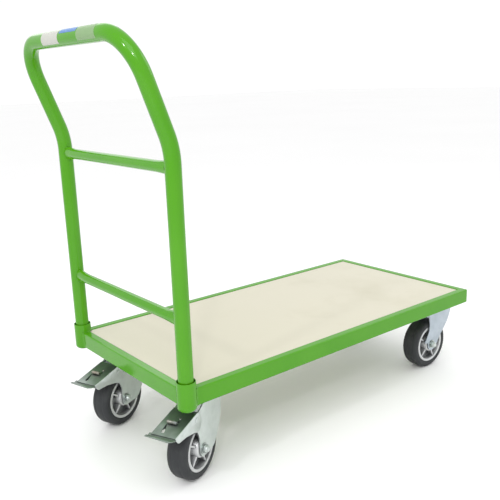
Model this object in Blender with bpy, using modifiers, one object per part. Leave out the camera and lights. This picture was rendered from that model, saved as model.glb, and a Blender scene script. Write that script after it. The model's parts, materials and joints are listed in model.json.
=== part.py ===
"""Platform cart: a tube frame with an inset board, a tubular handle that plugs into two corner
sockets, two braked swivel casters under the handle end and two fixed casters under the front end.

Frame: +X runs from the handle end to the front, +Y to the left, +Z up, and z = 0 is the floor.
The origin is on the floor at the middle of the cart's bounding box. Lengths are in metres.
"""

import math

import bmesh
import bpy
from mathutils import Matrix, Vector

# Gaps and shared sizes
FIT_GAP = 0.0003
SMOOTH_ANGLE = math.radians(32)

# Deck frame: rectangular tube on its long edge, with the board let in flush
DECK_LENGTH = 1.000
DECK_WIDTH = 0.500
FRAME_TOP = 0.239
RAIL_HEIGHT = 0.040
RAIL_WIDTH = 0.020
RAIL_WALL = 0.002
RAIL_CORNER = 0.003
BOARD_THICKNESS = 0.012
BOARD_DROP = 0.002
BOARD_SIDE_GAP = 0.001
BEARER_SIZE = 0.025
BEARER_WALL = 0.0016
MIDDLE_BEARERS = (-0.20, 0.0, 0.20)

# Handle: one bent tube with two cross tubes, standing in the corner sockets
POST_RADIUS = 0.01685
POST_WALL = 0.0023
POST_INSET = 0.0095
POST_FOOT_RISE = 0.004
BEND_HEIGHT = 0.500
BEND_ANGLE = math.radians(20.4)
BEND_RADIUS = 0.170
SLOPE_LENGTH = 0.200
TOP_CORNER_RADIUS = 0.0885
BRACE_RADIUS = 0.012
BRACE_WALL = 0.0016
BRACE_HEIGHTS = {"lower": 0.152, "upper": 0.462}
SOCKET_RADIUS = 0.0212
SOCKET_BORE = 0.0180
SOCKET_LEDGE_BORE = 0.0120
SOCKET_ABOVE = 0.020
SOCKET_BELOW = 0.046

# Casters
WHEEL_RADIUS = 0.073
TYRE_HALF_WIDTH = 0.0245
RIM_RADIUS = 0.0547
RIM_HALF_WIDTH = 0.0230
HUB_HALF_WIDTH = 0.0262
HUB_RADIUS = 0.0200
HUB_BORE = 0.0103
WEB_HALF_WIDTH = 0.0045
RIM_INNER_RADIUS = 0.0472
SPOKE_HALF_WIDTH = 0.0170
SPOKE_HALF_THICKNESS = 0.0025
SLEEVE_RADIUS = 0.0100
SPOKES = 5
SPOKE_TURN = math.radians(150)
AXLE_RADIUS = 0.0060
NUT_RADIUS = 0.0098
NUT_HEIGHT = 0.0080
BOLT_HEAD_HEIGHT = 0.0060
BOLT_END = 0.0100
PAD_LENGTH = 0.145
PAD_WIDTH = 0.130
PAD_THICKNESS = 0.005
PAD_HOLE_RADIUS = 0.014
PLATE_LENGTH = 0.105
PLATE_WIDTH = 0.085
PLATE_THICKNESS = 0.004
PLATE_CORNER = 0.008
BOLT_SPACING = (0.080, 0.060)
BOLT_HOLE_RADIUS = 0.0044
RACE_THICKNESS = 0.003
BALL_RING_THICKNESS = 0.004
CROWN_THICKNESS = 0.0035
LEG_OUTER = 0.0302
LEG_THICKNESS = 0.003
KING_PIN_RADIUS = 0.0060
KING_PIN_HEAD = 0.0110
FIXED_FOOT_RADIUS = 0.018
SWIVEL_X = -0.405
SWIVEL_Y = 0.169
SWIVEL_TRAIL = 0.050
SWIVEL_HEADING = {"right": math.radians(24.2), "left": math.radians(20.9)}
FIXED_X = 0.416
FIXED_Y = 0.163
FIXED_PLATE_LEAD = 0.026
FIXED_PAD_SHIFT = -0.017

# Brake pedal, in the caster's own frame: x along the wheel's heading, z up from the floor
PEDAL_PIVOT = (-0.078, 0.156)
PEDAL_PIVOT_RADIUS = 0.004
PEDAL_EAR_RADIUS = 0.0075
PEDAL_WALL = 0.002
PEDAL_HALF_WIDTH = 0.0338
PEDAL_LIP_HALF_WIDTH = 0.0365
ROLLER_RADIUS = 0.0040
ROLLER_HALF_LENGTH = 0.0125
ROLLER_X = -0.120
ROLLER_Y = 0.0017
SHOE_HALF_WIDTH = 0.018

# Worked out from the sizes above
HANDLE_OVERHANG = (
    BEND_RADIUS * (1 - math.cos(BEND_ANGLE))
    + SLOPE_LENGTH * math.sin(BEND_ANGLE)
    + POST_RADIUS
    - POST_INSET
)
DECK_X = HANDLE_OVERHANG / 2
REAR_X = DECK_X - DECK_LENGTH / 2
FRONT_X = DECK_X + DECK_LENGTH / 2
SIDE_Y = DECK_WIDTH / 2
POST_X = REAR_X + POST_INSET
POST_Y = SIDE_Y - POST_INSET
FRAME_BOTTOM = FRAME_TOP - RAIL_HEIGHT
BOARD_TOP = FRAME_TOP - BOARD_DROP
BOARD_BOTTOM = BOARD_TOP - BOARD_THICKNESS
SOCKET_FLOOR = FRAME_TOP - SOCKET_BELOW + POST_FOOT_RISE
PAD_TOP = FRAME_BOTTOM - FIT_GAP
PLATE_TOP = PAD_TOP - PAD_THICKNESS - FIT_GAP
PLATE_BOTTOM = PLATE_TOP - PLATE_THICKNESS
RACE_TOP = PLATE_BOTTOM - FIT_GAP
BALL_RING_TOP = RACE_TOP - RACE_THICKNESS - FIT_GAP
CROWN_TOP = BALL_RING_TOP - BALL_RING_THICKNESS - FIT_GAP
CROWN_BOTTOM = CROWN_TOP - CROWN_THICKNESS
LEG_INNER = LEG_OUTER - LEG_THICKNESS

# Finishes: sRGB colour, roughness, metallic
GREEN_PAINT = ((96, 172, 60), 0.38, 0.0)
CREAM_LAMINATE = ((235, 230, 211), 0.55, 0.0)
ZINC_PLATE = ((196, 203, 202), 0.32, 1.0)
DARK_STEEL = ((120, 126, 124), 0.40, 1.0)
GREY_RUBBER = ((74, 76, 80), 0.80, 0.0)
CAST_ALUMINIUM = ((168, 170, 170), 0.45, 1.0)

LENGTHWISE = Matrix(((0, 0, 1), (1, 0, 0), (0, 1, 0))).to_4x4()
CROSSWISE = Matrix(((0, 1, 0), (0, 0, 1), (1, 0, 0))).to_4x4()
SIDEWAYS = Matrix.Rotation(math.pi / 2, 4, "X")


# ---------------------------------------------------------------- scene and materials


def clear_scene():
    for obj in list(bpy.data.objects):
        bpy.data.objects.remove(obj, do_unlink=True)


def new_collection(name, hidden=False):
    collection = bpy.data.collections.new(name)
    collection.hide_render = hidden
    bpy.context.scene.collection.children.link(collection)
    return collection


def linear(channel):
    value = channel / 255
    return value / 12.92 if value <= 0.04045 else ((value + 0.055) / 1.055) ** 2.4


def material(name, finish):
    colour, roughness, metallic = finish
    made = bpy.data.materials.new(name)
    made.use_nodes = True
    shader = made.node_tree.nodes["Principled BSDF"]
    shader.inputs["Base Color"].default_value = (*(linear(c) for c in colour), 1)
    shader.inputs["Roughness"].default_value = roughness
    shader.inputs["Metallic"].default_value = metallic
    return made


def add_part(name, mesh, finish, parent=None, place=None):
    """A finished sub-part: its mesh in an object of that name, with its own material."""
    obj = bpy.data.objects.new(name, mesh)
    PARTS.objects.link(obj)
    mesh.materials.clear()
    mesh.materials.append(material(name, finish))
    mesh.shade_smooth()
    mesh.set_sharp_from_angle(angle=SMOOTH_ANGLE)
    obj.parent = parent
    if place is not None:
        obj.matrix_local = place
    return obj


def add_cutter(name, mesh, parent=None, place=None):
    """A helper that a Boolean cuts or joins with, left out of the finished object."""
    obj = bpy.data.objects.new(name, mesh)
    CUTTERS.objects.link(obj)
    obj.hide_render = True
    obj.display_type = "WIRE"
    obj.parent = parent
    if place is not None:
        obj.matrix_local = place
    return obj


def add_empty(name, location, heading=0.0, parent=None):
    obj = bpy.data.objects.new(name, None)
    PARTS.objects.link(obj)
    obj.parent = parent
    obj.location = location
    obj.rotation_euler = (0, 0, heading)
    return obj


def boolean(obj, other, operation="DIFFERENCE"):
    modifier = obj.modifiers.new(other.name, "BOOLEAN")
    modifier.operation = operation
    modifier.object = other
    modifier.solver = "EXACT"


# ---------------------------------------------------------------- shapes


def box_mesh(name, low, high):
    """A box between two corners, from a cube primitive."""
    low, high = Vector(low), Vector(high)
    scale = Matrix.Diagonal((*(high - low), 1))
    shape = bmesh.new()
    bmesh.ops.create_cube(shape, size=1, matrix=Matrix.Translation((low + high) / 2) @ scale)
    return to_mesh(shape, name)


def cylinder_mesh(name, radius, low, high, segments=24, sideways=False):
    """A cylinder along Z, or along Y when it is sideways, between two heights on its axis."""
    turn = SIDEWAYS if sideways else Matrix.Identity(4)
    middle = Vector((0, (low + high) / 2, 0)) if sideways else Vector((0, 0, (low + high) / 2))
    shape = bmesh.new()
    bmesh.ops.create_cone(
        shape,
        cap_ends=True,
        segments=segments,
        radius1=radius,
        radius2=radius,
        depth=high - low,
        matrix=Matrix.Translation(middle) @ turn,
    )
    return to_mesh(shape, name)


def to_mesh(shape, name):
    mesh = bpy.data.meshes.new(name)
    shape.to_mesh(mesh)
    shape.free()
    return mesh


def mesh_of(obj):
    """The evaluated mesh of a helper object in its own frame, welded, with the helper removed."""
    bpy.context.view_layer.update()
    graph = bpy.context.evaluated_depsgraph_get()
    mesh = bpy.data.meshes.new_from_object(obj.evaluated_get(graph))
    shape = bmesh.new()
    shape.from_mesh(mesh)
    bmesh.ops.remove_doubles(shape, verts=shape.verts, dist=1e-6)
    shape.to_mesh(mesh)
    shape.free()
    bpy.data.objects.remove(obj, do_unlink=True)
    return mesh


def prism_mesh(name, outlines, low, high, turn=None):
    """Flat outlines, the first with any others as holes in it, extruded along Z from low to high."""
    curve = bpy.data.curves.new(name, "CURVE")
    curve.dimensions = "2D"
    curve.fill_mode = "BOTH"
    curve.extrude = (high - low) / 2
    for outline in outlines:
        spline = curve.splines.new("POLY")
        spline.points.add(len(outline) - 1)
        spline.use_cyclic_u = True
        for point, (x, y) in zip(spline.points, outline):
            point.co = (x, y, 0, 1)
    obj = bpy.data.objects.new(name, curve)
    CUTTERS.objects.link(obj)
    mesh = mesh_of(obj)
    mesh.transform(Matrix.Translation((0, 0, (low + high) / 2)))
    if turn is not None:
        mesh.transform(turn)
    return mesh


def side_prism(name, outline, half_width):
    """An outline in the X-Z plane, extruded evenly to both sides of it."""
    return prism_mesh(name, [outline], -half_width, half_width, SIDEWAYS)


def turned_mesh(name, profile, steps):
    """A closed profile of (radius, height) points turned about Z. It runs down the outer side."""
    shape = bmesh.new()
    verts = [shape.verts.new((radius, 0, height)) for radius, height in profile]
    for first, second in zip(verts, verts[1:] + verts[:1]):
        shape.edges.new((first, second))
    obj = bpy.data.objects.new(name, to_mesh(shape, name))
    CUTTERS.objects.link(obj)
    screw = obj.modifiers.new("turn", "SCREW")
    screw.steps = steps
    screw.render_steps = steps
    screw.use_merge_vertices = True
    screw.merge_threshold = 1e-5
    return mesh_of(obj)


def tube_mesh(name, points, radius, resolution):
    """A round bar along a run of points."""
    curve = bpy.data.curves.new(name, "CURVE")
    curve.dimensions = "3D"
    curve.bevel_depth = radius
    curve.bevel_resolution = resolution
    curve.use_fill_caps = True
    spline = curve.splines.new("POLY")
    spline.points.add(len(points) - 1)
    for point, place in zip(spline.points, points):
        point.co = (*place, 1)
    obj = bpy.data.objects.new(name, curve)
    CUTTERS.objects.link(obj)
    return mesh_of(obj)


def arc(centre, radius, start, end, steps):
    """Points on a circle from one angle to another, both in degrees and both included."""
    angles = [math.radians(start + (end - start) * i / steps) for i in range(steps + 1)]
    return [(centre[0] + radius * math.cos(a), centre[1] + radius * math.sin(a)) for a in angles]


def round_rectangle(width, height, corner, steps=3):
    """The outline of a rectangle about the origin with round corners."""
    points = []
    for quarter, (sx, sy) in enumerate(((1, 1), (-1, 1), (-1, -1), (1, -1))):
        centre = (sx * (width / 2 - corner), sy * (height / 2 - corner))
        points += arc(centre, corner, 90 * quarter, 90 * quarter + 90, steps)
    return points


def box_tube_mesh(name, width, height, wall, corner, low, high, turn):
    """A rectangular tube with open ends, its length from low to high along Z before the turn."""
    outer = round_rectangle(width, height, corner)
    inner = round_rectangle(width - 2 * wall, height - 2 * wall, max(corner - wall, 0.0005))
    return prism_mesh(name, [outer, inner], low, high, turn)


# ---------------------------------------------------------------- deck frame


def socket_cutter():
    """Two posts of the sockets' size and a little more, which cope the rails and the board."""
    cutters = []
    for side, sign in (("right", -1), ("left", 1)):
        mesh = cylinder_mesh(f"cope_{side}", SOCKET_RADIUS + FIT_GAP, 0, 2 * FRAME_TOP, 40)
        place = Matrix.Translation((POST_X, sign * POST_Y, 0))
        cutters.append(add_cutter(f"cope_{side}", mesh, place=place))
    return cutters


def long_rail(side, sign, cope):
    """A side rail, mitred at the front and coped to its socket at the rear."""
    mesh = box_tube_mesh(
        f"rail_{side}", RAIL_WIDTH, RAIL_HEIGHT, RAIL_WALL, RAIL_CORNER, REAR_X, FRONT_X, LENGTHWISE
    )
    middle_y = sign * (SIDE_Y - RAIL_WIDTH / 2)
    mesh.transform(Matrix.Translation((0, middle_y, FRAME_TOP - RAIL_HEIGHT / 2)))
    for vertex in mesh.vertices:
        if vertex.co.x > DECK_X:
            vertex.co.x = FRONT_X - (SIDE_Y - abs(vertex.co.y)) - FIT_GAP
    boolean(add_part(f"rail_{side}", mesh, GREEN_PAINT), cope)


def front_rail():
    """The front rail, mitred to both side rails."""
    mesh = box_tube_mesh(
        "rail_front", RAIL_HEIGHT, RAIL_WIDTH, RAIL_WALL, RAIL_CORNER, -SIDE_Y, SIDE_Y, CROSSWISE
    )
    middle = (FRONT_X - RAIL_WIDTH / 2, 0, FRAME_TOP - RAIL_HEIGHT / 2)
    mesh.transform(Matrix.Translation(middle))
    for vertex in mesh.vertices:
        reach = SIDE_Y - (FRONT_X - vertex.co.x) - FIT_GAP
        vertex.co.y = math.copysign(reach, vertex.co.y)
    add_part("rail_front", mesh, GREEN_PAINT)


def rear_rail(copes):
    """The rear rail, coped to both sockets."""
    mesh = box_tube_mesh(
        "rail_rear", RAIL_HEIGHT, RAIL_WIDTH, RAIL_WALL, RAIL_CORNER, -POST_Y, POST_Y, CROSSWISE
    )
    middle = (REAR_X + RAIL_WIDTH / 2, 0, FRAME_TOP - RAIL_HEIGHT / 2)
    mesh.transform(Matrix.Translation(middle))
    rail = add_part("rail_rear", mesh, GREEN_PAINT)
    for cope in copes:
        boolean(rail, cope)


def handle_socket(side, sign):
    """A corner tube with a ledge at its foot, on which the handle's post stands."""
    top = FRAME_TOP + SOCKET_ABOVE
    bottom = FRAME_TOP - SOCKET_BELOW
    ledge_top = SOCKET_FLOOR - FIT_GAP
    profile = [
        (SOCKET_RADIUS, top),
        (SOCKET_RADIUS, bottom),
        (SOCKET_LEDGE_BORE, bottom),
        (SOCKET_LEDGE_BORE, ledge_top),
        (SOCKET_BORE, ledge_top),
        (SOCKET_BORE, top),
    ]
    place = Matrix.Translation((POST_X, sign * POST_Y, 0))
    add_part(f"handle_socket_{side}", turned_mesh("socket", profile, 32), GREEN_PAINT, place=place)


def deck_board(copes):
    """The load board, let into the frame, with its rear corners cut round the sockets."""
    inset = RAIL_WIDTH + BOARD_SIDE_GAP
    low = (REAR_X + inset, -SIDE_Y + inset, BOARD_BOTTOM)
    high = (FRONT_X - inset, SIDE_Y - inset, BOARD_TOP)
    board = add_part("deck_board", box_mesh("deck_board", low, high), CREAM_LAMINATE)
    for cope in copes:
        boolean(board, cope)


def bearers():
    """Square tubes across the frame that carry the board, one of them over each pair of casters."""
    reach = SIDE_Y - RAIL_WIDTH - FIT_GAP
    middle_z = BOARD_BOTTOM - FIT_GAP - BEARER_SIZE / 2
    places = sorted((SWIVEL_X, *MIDDLE_BEARERS, FIXED_X + FIXED_PLATE_LEAD))
    for number, place in enumerate(places, 1):
        name = f"bearer_{number}"
        mesh = box_tube_mesh(
            name, BEARER_SIZE, BEARER_SIZE, BEARER_WALL, RAIL_CORNER, -reach, reach, CROSSWISE
        )
        mesh.transform(Matrix.Translation((DECK_X + place, 0, middle_z)))
        add_part(name, mesh, GREEN_PAINT)


def caster_pad(name, x, y, shift=0.0):
    """A steel plate welded under the frame, with bolt holes and room for the king pin's head."""
    outline = [(px + shift, py) for px, py in round_rectangle(PAD_LENGTH, PAD_WIDTH, PLATE_CORNER)]
    holes = [arc(place, BOLT_HOLE_RADIUS, 0, 330, 11) for place in bolt_places()]
    holes.append(arc((0, 0), PAD_HOLE_RADIUS, 0, 345, 23))
    mesh = prism_mesh(name, [outline, *holes], PAD_TOP - PAD_THICKNESS, PAD_TOP)
    return add_part(name, mesh, GREEN_PAINT, place=Matrix.Translation((x, y, 0)))


def bolt_places():
    """The middles of the four bolt holes of a caster plate."""
    dx, dy = BOLT_SPACING[0] / 2, BOLT_SPACING[1] / 2
    return [(dx, dy), (-dx, dy), (-dx, -dy), (dx, -dy)]


# ---------------------------------------------------------------- handle


def handle_path(low):
    """The middle line of the bent tube, from the foot of the right post to that of the left."""
    start = FRAME_TOP + BEND_HEIGHT - BEND_RADIUS * math.tan(BEND_ANGLE / 2)
    right = [Vector((POST_X, -POST_Y, low)), Vector((POST_X, -POST_Y, start))]
    for step in range(1, 5):
        angle = BEND_ANGLE * step / 4
        back = BEND_RADIUS * (1 - math.cos(angle))
        right.append(Vector((POST_X - back, -POST_Y, start + BEND_RADIUS * math.sin(angle))))
    base = right[-1].copy()
    slope = Vector((-math.sin(BEND_ANGLE), 0, math.cos(BEND_ANGLE)))
    straight = SLOPE_LENGTH - TOP_CORNER_RADIUS
    for step in range(9):
        angle = math.pi / 2 * step / 8
        rise = straight + TOP_CORNER_RADIUS * math.sin(angle)
        across = Vector((0, TOP_CORNER_RADIUS * (1 - math.cos(angle)), 0))
        right.append(base + slope * rise + across)
    return right + [Vector((point.x, -point.y, point.z)) for point in reversed(right)]


def handle_loop(parent):
    """The bent handle tube, open at both feet."""
    outer = tube_mesh("handle_loop", handle_path(SOCKET_FLOOR), POST_RADIUS, 4)
    bore = tube_mesh("handle_bore", handle_path(SOCKET_FLOOR - 0.005), POST_RADIUS - POST_WALL, 4)
    place = parent.matrix_basis.inverted()
    loop = add_part("handle_loop", outer, GREEN_PAINT, parent, place)
    boolean(loop, add_cutter("handle_bore", bore))


def handle_brace(name, height, parent):
    """A cross tube between the posts, coped to them at both ends."""
    inner = BRACE_RADIUS - BRACE_WALL
    profile = [
        (BRACE_RADIUS, POST_Y),
        (BRACE_RADIUS, -POST_Y),
        (inner, -POST_Y),
        (inner, POST_Y),
    ]
    mesh = turned_mesh(name, profile, 20)
    mesh.transform(Matrix.Translation((POST_X, 0, FRAME_TOP + height)) @ SIDEWAYS)
    brace = add_part(name, mesh, GREEN_PAINT, parent, parent.matrix_basis.inverted())
    for side, sign in (("right", -1), ("left", 1)):
        cutter = f"{name}_cope_{side}"
        mesh = cylinder_mesh(cutter, POST_RADIUS + FIT_GAP, 0, 4 * FRAME_TOP, 40)
        place = Matrix.Translation((POST_X, sign * POST_Y, 0))
        boolean(brace, add_cutter(cutter, mesh, place=place))


def handle():
    foot = add_empty("handle_foot", (POST_X, 0, SOCKET_FLOOR))
    handle_loop(foot)
    for which, height in BRACE_HEIGHTS.items():
        handle_brace(f"handle_brace_{which}", height, foot)


# ---------------------------------------------------------------- wheels


def tyre(name, axle):
    """A solid rubber tyre with a nearly flat tread and round shoulders."""
    half = [
        (RIM_RADIUS + FIT_GAP, RIM_HALF_WIDTH),
        (0.0600, TYRE_HALF_WIDTH),
        (0.0665, TYRE_HALF_WIDTH),
        (0.0705, 0.0225),
        (0.0725, 0.0180),
        (WHEEL_RADIUS, 0.0100),
    ]
    profile = half + [(radius, -height) for radius, height in reversed(half)]
    add_part(name, turned_mesh(name, profile, 36), GREY_RUBBER, axle, SIDEWAYS)


def rim(name, axle):
    """A cast wheel centre: hub, thin web and rim, stiffened by spokes on both faces."""
    half = [
        (HUB_BORE, HUB_HALF_WIDTH),
        (HUB_RADIUS, HUB_HALF_WIDTH),
        (HUB_RADIUS + 0.0030, WEB_HALF_WIDTH),
        (RIM_INNER_RADIUS - 0.0015, WEB_HALF_WIDTH),
        (RIM_INNER_RADIUS, RIM_HALF_WIDTH),
        (RIM_RADIUS, RIM_HALF_WIDTH),
    ]
    profile = half + [(radius, -height) for radius, height in reversed(half)]
    centre = add_part(name, turned_mesh(name, profile, 36), CAST_ALUMINIUM, axle, SIDEWAYS)
    low = (HUB_RADIUS - 0.003, -SPOKE_HALF_WIDTH, -SPOKE_HALF_THICKNESS)
    high = (RIM_INNER_RADIUS + 0.0015, SPOKE_HALF_WIDTH, SPOKE_HALF_THICKNESS)
    for spoke in range(SPOKES):
        mesh = box_mesh("spoke", low, high)
        place = Matrix.Rotation(2 * math.pi * spoke / SPOKES - SPOKE_TURN, 4, "Y")
        boolean(centre, add_cutter(f"{name}_spoke_{spoke + 1}", mesh, axle, place), "UNION")


def wheel(place, axle):
    """The pieces that turn together on the axle."""
    tyre(f"tyre_{place}", axle)
    rim(f"rim_{place}", axle)


def axle_set(place, axle):
    """The bolt, its nut and the sleeve that they clamp between the legs."""
    inner = AXLE_RADIUS + FIT_GAP
    sleeve_end = LEG_INNER - FIT_GAP
    sleeve = [
        (SLEEVE_RADIUS, sleeve_end),
        (SLEEVE_RADIUS, -sleeve_end),
        (inner, -sleeve_end),
        (inner, sleeve_end),
    ]
    add_part(f"axle_sleeve_{place}", turned_mesh("sleeve", sleeve, 20), DARK_STEEL, axle, SIDEWAYS)
    seat = LEG_OUTER + FIT_GAP
    hexagon = arc((0, 0), NUT_RADIUS, 0, 300, 5)
    thread = arc((0, 0), inner, 0, 337.5, 15)
    nut = prism_mesh("nut", [hexagon, thread], seat, seat + NUT_HEIGHT, SIDEWAYS)
    add_part(f"axle_nut_{place}", nut, ZINC_PLATE, axle)
    bolt = cylinder_mesh("bolt", AXLE_RADIUS, -seat - BOLT_END, seat + 0.001, 20, True)
    head = prism_mesh("head", [hexagon], -seat - BOLT_HEAD_HEIGHT, -seat, SIDEWAYS)
    shaft = add_part(f"axle_bolt_{place}", bolt, ZINC_PLATE, axle)
    boolean(shaft, add_cutter(f"axle_head_{place}", head, axle), "UNION")


def leg_holes(obj, name, axle):
    """Cuts the axle's hole through both legs of a fork."""
    mesh = cylinder_mesh(name, AXLE_RADIUS + FIT_GAP, -0.05, 0.05, 20, True)
    boolean(obj, add_cutter(name, mesh, axle))


# ---------------------------------------------------------------- swivel casters


def swivel_leg_outline():
    """The side view of the swivel fork: a wide crown, a leg that trails, and a pedal ear."""
    front = [
        (0.0420, CROWN_TOP),
        (0.0455, 0.1500),
        (0.0435, 0.1220),
        (0.0350, 0.1040),
        (0.0205, 0.0880),
        (0.0077, 0.0707),
        (-0.0019, 0.0615),
    ]
    foot = [
        (-0.0139, 0.0565),
        (-0.0366, 0.0548),
        (-0.0500, 0.0540),
        (-0.0565, 0.0556),
        (-0.0620, 0.0627),
        (-0.0639, 0.0728),
    ]
    rear = [(-0.0648, 0.1000), (-0.0690, 0.1150), (-0.0785, 0.1280), (-0.0880, 0.1420)]
    ear = arc(PEDAL_PIVOT, PEDAL_EAR_RADIUS, 180, 75, 5)
    crown = [(-0.062, 0.161), (-0.042, CROWN_TOP)]
    return (front + foot + rear + ear + crown)[::-1]


def swivel_fork(side, swivel, axle):
    """The pressed fork: a crown with two legs, hollow between them."""
    fork = add_part(
        f"fork_{side}", side_prism("fork", swivel_leg_outline(), LEG_OUTER), ZINC_PLATE, swivel
    )
    room = box_mesh("room", (-0.12, -LEG_INNER, 0), (0.06, LEG_INNER, CROWN_BOTTOM))
    boolean(fork, add_cutter(f"fork_room_{side}", room, swivel))
    bore = cylinder_mesh("bore", KING_PIN_RADIUS + FIT_GAP, 0.15, 0.2, 24)
    boolean(fork, add_cutter(f"fork_bore_{side}", bore, swivel))
    leg_holes(fork, f"fork_axle_hole_{side}", axle)
    pivot = cylinder_mesh("pivot", PEDAL_PIVOT_RADIUS + FIT_GAP, -0.05, 0.05, 16, True)
    place = Matrix.Translation((PEDAL_PIVOT[0], 0, PEDAL_PIVOT[1]))
    boolean(fork, add_cutter(f"fork_pivot_hole_{side}", pivot, swivel, place))


def swivel_head(side, swivel_place):
    """The pieces bolted to the frame: the top plate, the ball race and the king pin."""
    outline = round_rectangle(PLATE_LENGTH, PLATE_WIDTH, PLATE_CORNER)
    holes = [arc(place, BOLT_HOLE_RADIUS, 0, 330, 11) for place in bolt_places()]
    holes.append(arc((0, 0), KING_PIN_RADIUS + FIT_GAP, 0, 345, 23))
    plate = prism_mesh("plate", [outline, *holes], PLATE_BOTTOM, PLATE_TOP)
    add_part(f"top_plate_{side}", plate, ZINC_PLATE, place=swivel_place)
    race_bottom = RACE_TOP - RACE_THICKNESS
    race = [(0.030, RACE_TOP), (0.036, race_bottom), (0.012, race_bottom), (0.012, RACE_TOP)]
    add_part(f"ball_race_{side}", turned_mesh("race", race, 32), ZINC_PLATE, place=swivel_place)
    head, shaft = KING_PIN_HEAD, KING_PIN_RADIUS
    pin = [
        (0, PLATE_TOP + 0.004),
        (head - 0.003, PLATE_TOP + 0.004),
        (head, PLATE_TOP + 0.002),
        (head, PLATE_TOP + FIT_GAP),
        (shaft, PLATE_TOP + FIT_GAP),
        (shaft, CROWN_BOTTOM - FIT_GAP),
        (head, CROWN_BOTTOM - FIT_GAP),
        (head - 0.003, CROWN_BOTTOM - 0.005),
        (0, CROWN_BOTTOM - 0.005),
    ]
    add_part(f"king_pin_{side}", turned_mesh("pin", pin, 24), DARK_STEEL, place=swivel_place)


def ball_ring(side, swivel):
    """The ring of balls and their cage between the race and the crown."""
    bottom = BALL_RING_TOP - BALL_RING_THICKNESS
    profile = [
        (0.031, BALL_RING_TOP - 0.001),
        (0.031, bottom + 0.001),
        (0.029, bottom),
        (0.021, bottom),
        (0.021, BALL_RING_TOP),
        (0.029, BALL_RING_TOP),
    ]
    add_part(f"ball_ring_{side}", turned_mesh("ball_ring", profile, 28), DARK_STEEL, swivel)


def pedal_top(s):
    """The height of the pedal's tread plate at a place along the caster."""
    return 0.1525 + (s + 0.158) * 0.194


def pedal(side, pivot):
    """The brake pedal: a tread plate with a wall down each side and a lip for the toe."""
    offset = Matrix.Translation((-PEDAL_PIVOT[0], 0, -PEDAL_PIVOT[1]))
    outline = [
        (-0.158, pedal_top(-0.158)),
        (-0.159, 0.1490),
        (-0.151, 0.140),
        (-0.097, 0.1305),
        (-0.075, 0.1310),
        (-0.064, 0.140),
        (-0.060, 0.156),
        (-0.066, pedal_top(-0.066)),
    ]
    body = side_prism("pedal", outline, PEDAL_HALF_WIDTH)
    part = add_part(f"brake_pedal_{side}", body, ZINC_PLATE, pivot, offset)
    room_outline = [
        (-0.200, pedal_top(-0.200) - PEDAL_WALL),
        (-0.040, pedal_top(-0.040) - PEDAL_WALL),
        (-0.040, 0.100),
        (-0.200, 0.100),
    ]
    room = side_prism("room", room_outline, PEDAL_HALF_WIDTH - PEDAL_WALL)
    lip_outline = [
        (-0.1565, pedal_top(-0.1565) - 0.0005),
        (-0.175, 0.1547),
        (-0.175, 0.1527),
        (-0.160, 0.1500),
        (-0.1565, pedal_top(-0.1565) - 0.0014),
    ]
    lip = side_prism("lip", lip_outline, PEDAL_LIP_HALF_WIDTH)
    slot = box_mesh("slot", (-0.150, 0.004, 0.12), (-0.1225, 0.0135, 0.19))
    pin_hole = cylinder_mesh("pin_hole", PEDAL_PIVOT_RADIUS + FIT_GAP, -0.05, 0.05, 16, True)
    boolean(part, add_cutter(f"pedal_room_{side}", room, pivot, offset))
    boolean(part, add_cutter(f"pedal_lip_{side}", lip, pivot, offset), "UNION")
    boolean(part, add_cutter(f"pedal_slot_{side}", slot, pivot, offset))
    boolean(part, add_cutter(f"pedal_pin_hole_{side}", pin_hole, pivot))


def pedal_roller(side, pivot):
    """The round bar across the pedal's tread plate."""
    mesh = cylinder_mesh("roller", ROLLER_RADIUS, -ROLLER_HALF_LENGTH, ROLLER_HALF_LENGTH, 16, True)
    height = pedal_top(ROLLER_X) + ROLLER_RADIUS + 2 * FIT_GAP
    place = Matrix.Translation((ROLLER_X - PEDAL_PIVOT[0], ROLLER_Y, height - PEDAL_PIVOT[1]))
    add_part(f"pedal_roller_{side}", mesh, ZINC_PLATE, pivot, place)


def brake_shoe(side, pivot):
    """The shoe under the tread plate, which the pedal presses to the tyre."""
    under = PEDAL_WALL + 2 * FIT_GAP
    outline = [
        (-0.118, pedal_top(-0.118) - under),
        (-0.108, 0.135),
        (-0.103, 0.1325),
        (-0.090, 0.1425),
        (-0.088, pedal_top(-0.088) - under),
    ]
    place = Matrix.Translation((-PEDAL_PIVOT[0], 0, -PEDAL_PIVOT[1]))
    mesh = side_prism("shoe", outline, SHOE_HALF_WIDTH)
    add_part(f"brake_shoe_{side}", mesh, DARK_STEEL, pivot, place)


def pedal_pin(side, swivel):
    """The pin through the pedal and the fork, with a round head outside each pedal wall."""
    seat = PEDAL_HALF_WIDTH + FIT_GAP
    shaft = PEDAL_PIVOT_RADIUS
    head = 0.0075
    half = [
        (0, seat + 0.003),
        (head - 0.0025, seat + 0.003),
        (head, seat + 0.001),
        (head, seat),
        (shaft, seat),
    ]
    profile = half + [(radius, -height) for radius, height in reversed(half)]
    place = Matrix.Translation((PEDAL_PIVOT[0], 0, PEDAL_PIVOT[1])) @ SIDEWAYS
    add_part(f"pedal_pin_{side}", turned_mesh("pedal_pin", profile, 16), ZINC_PLATE, swivel, place)


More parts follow.
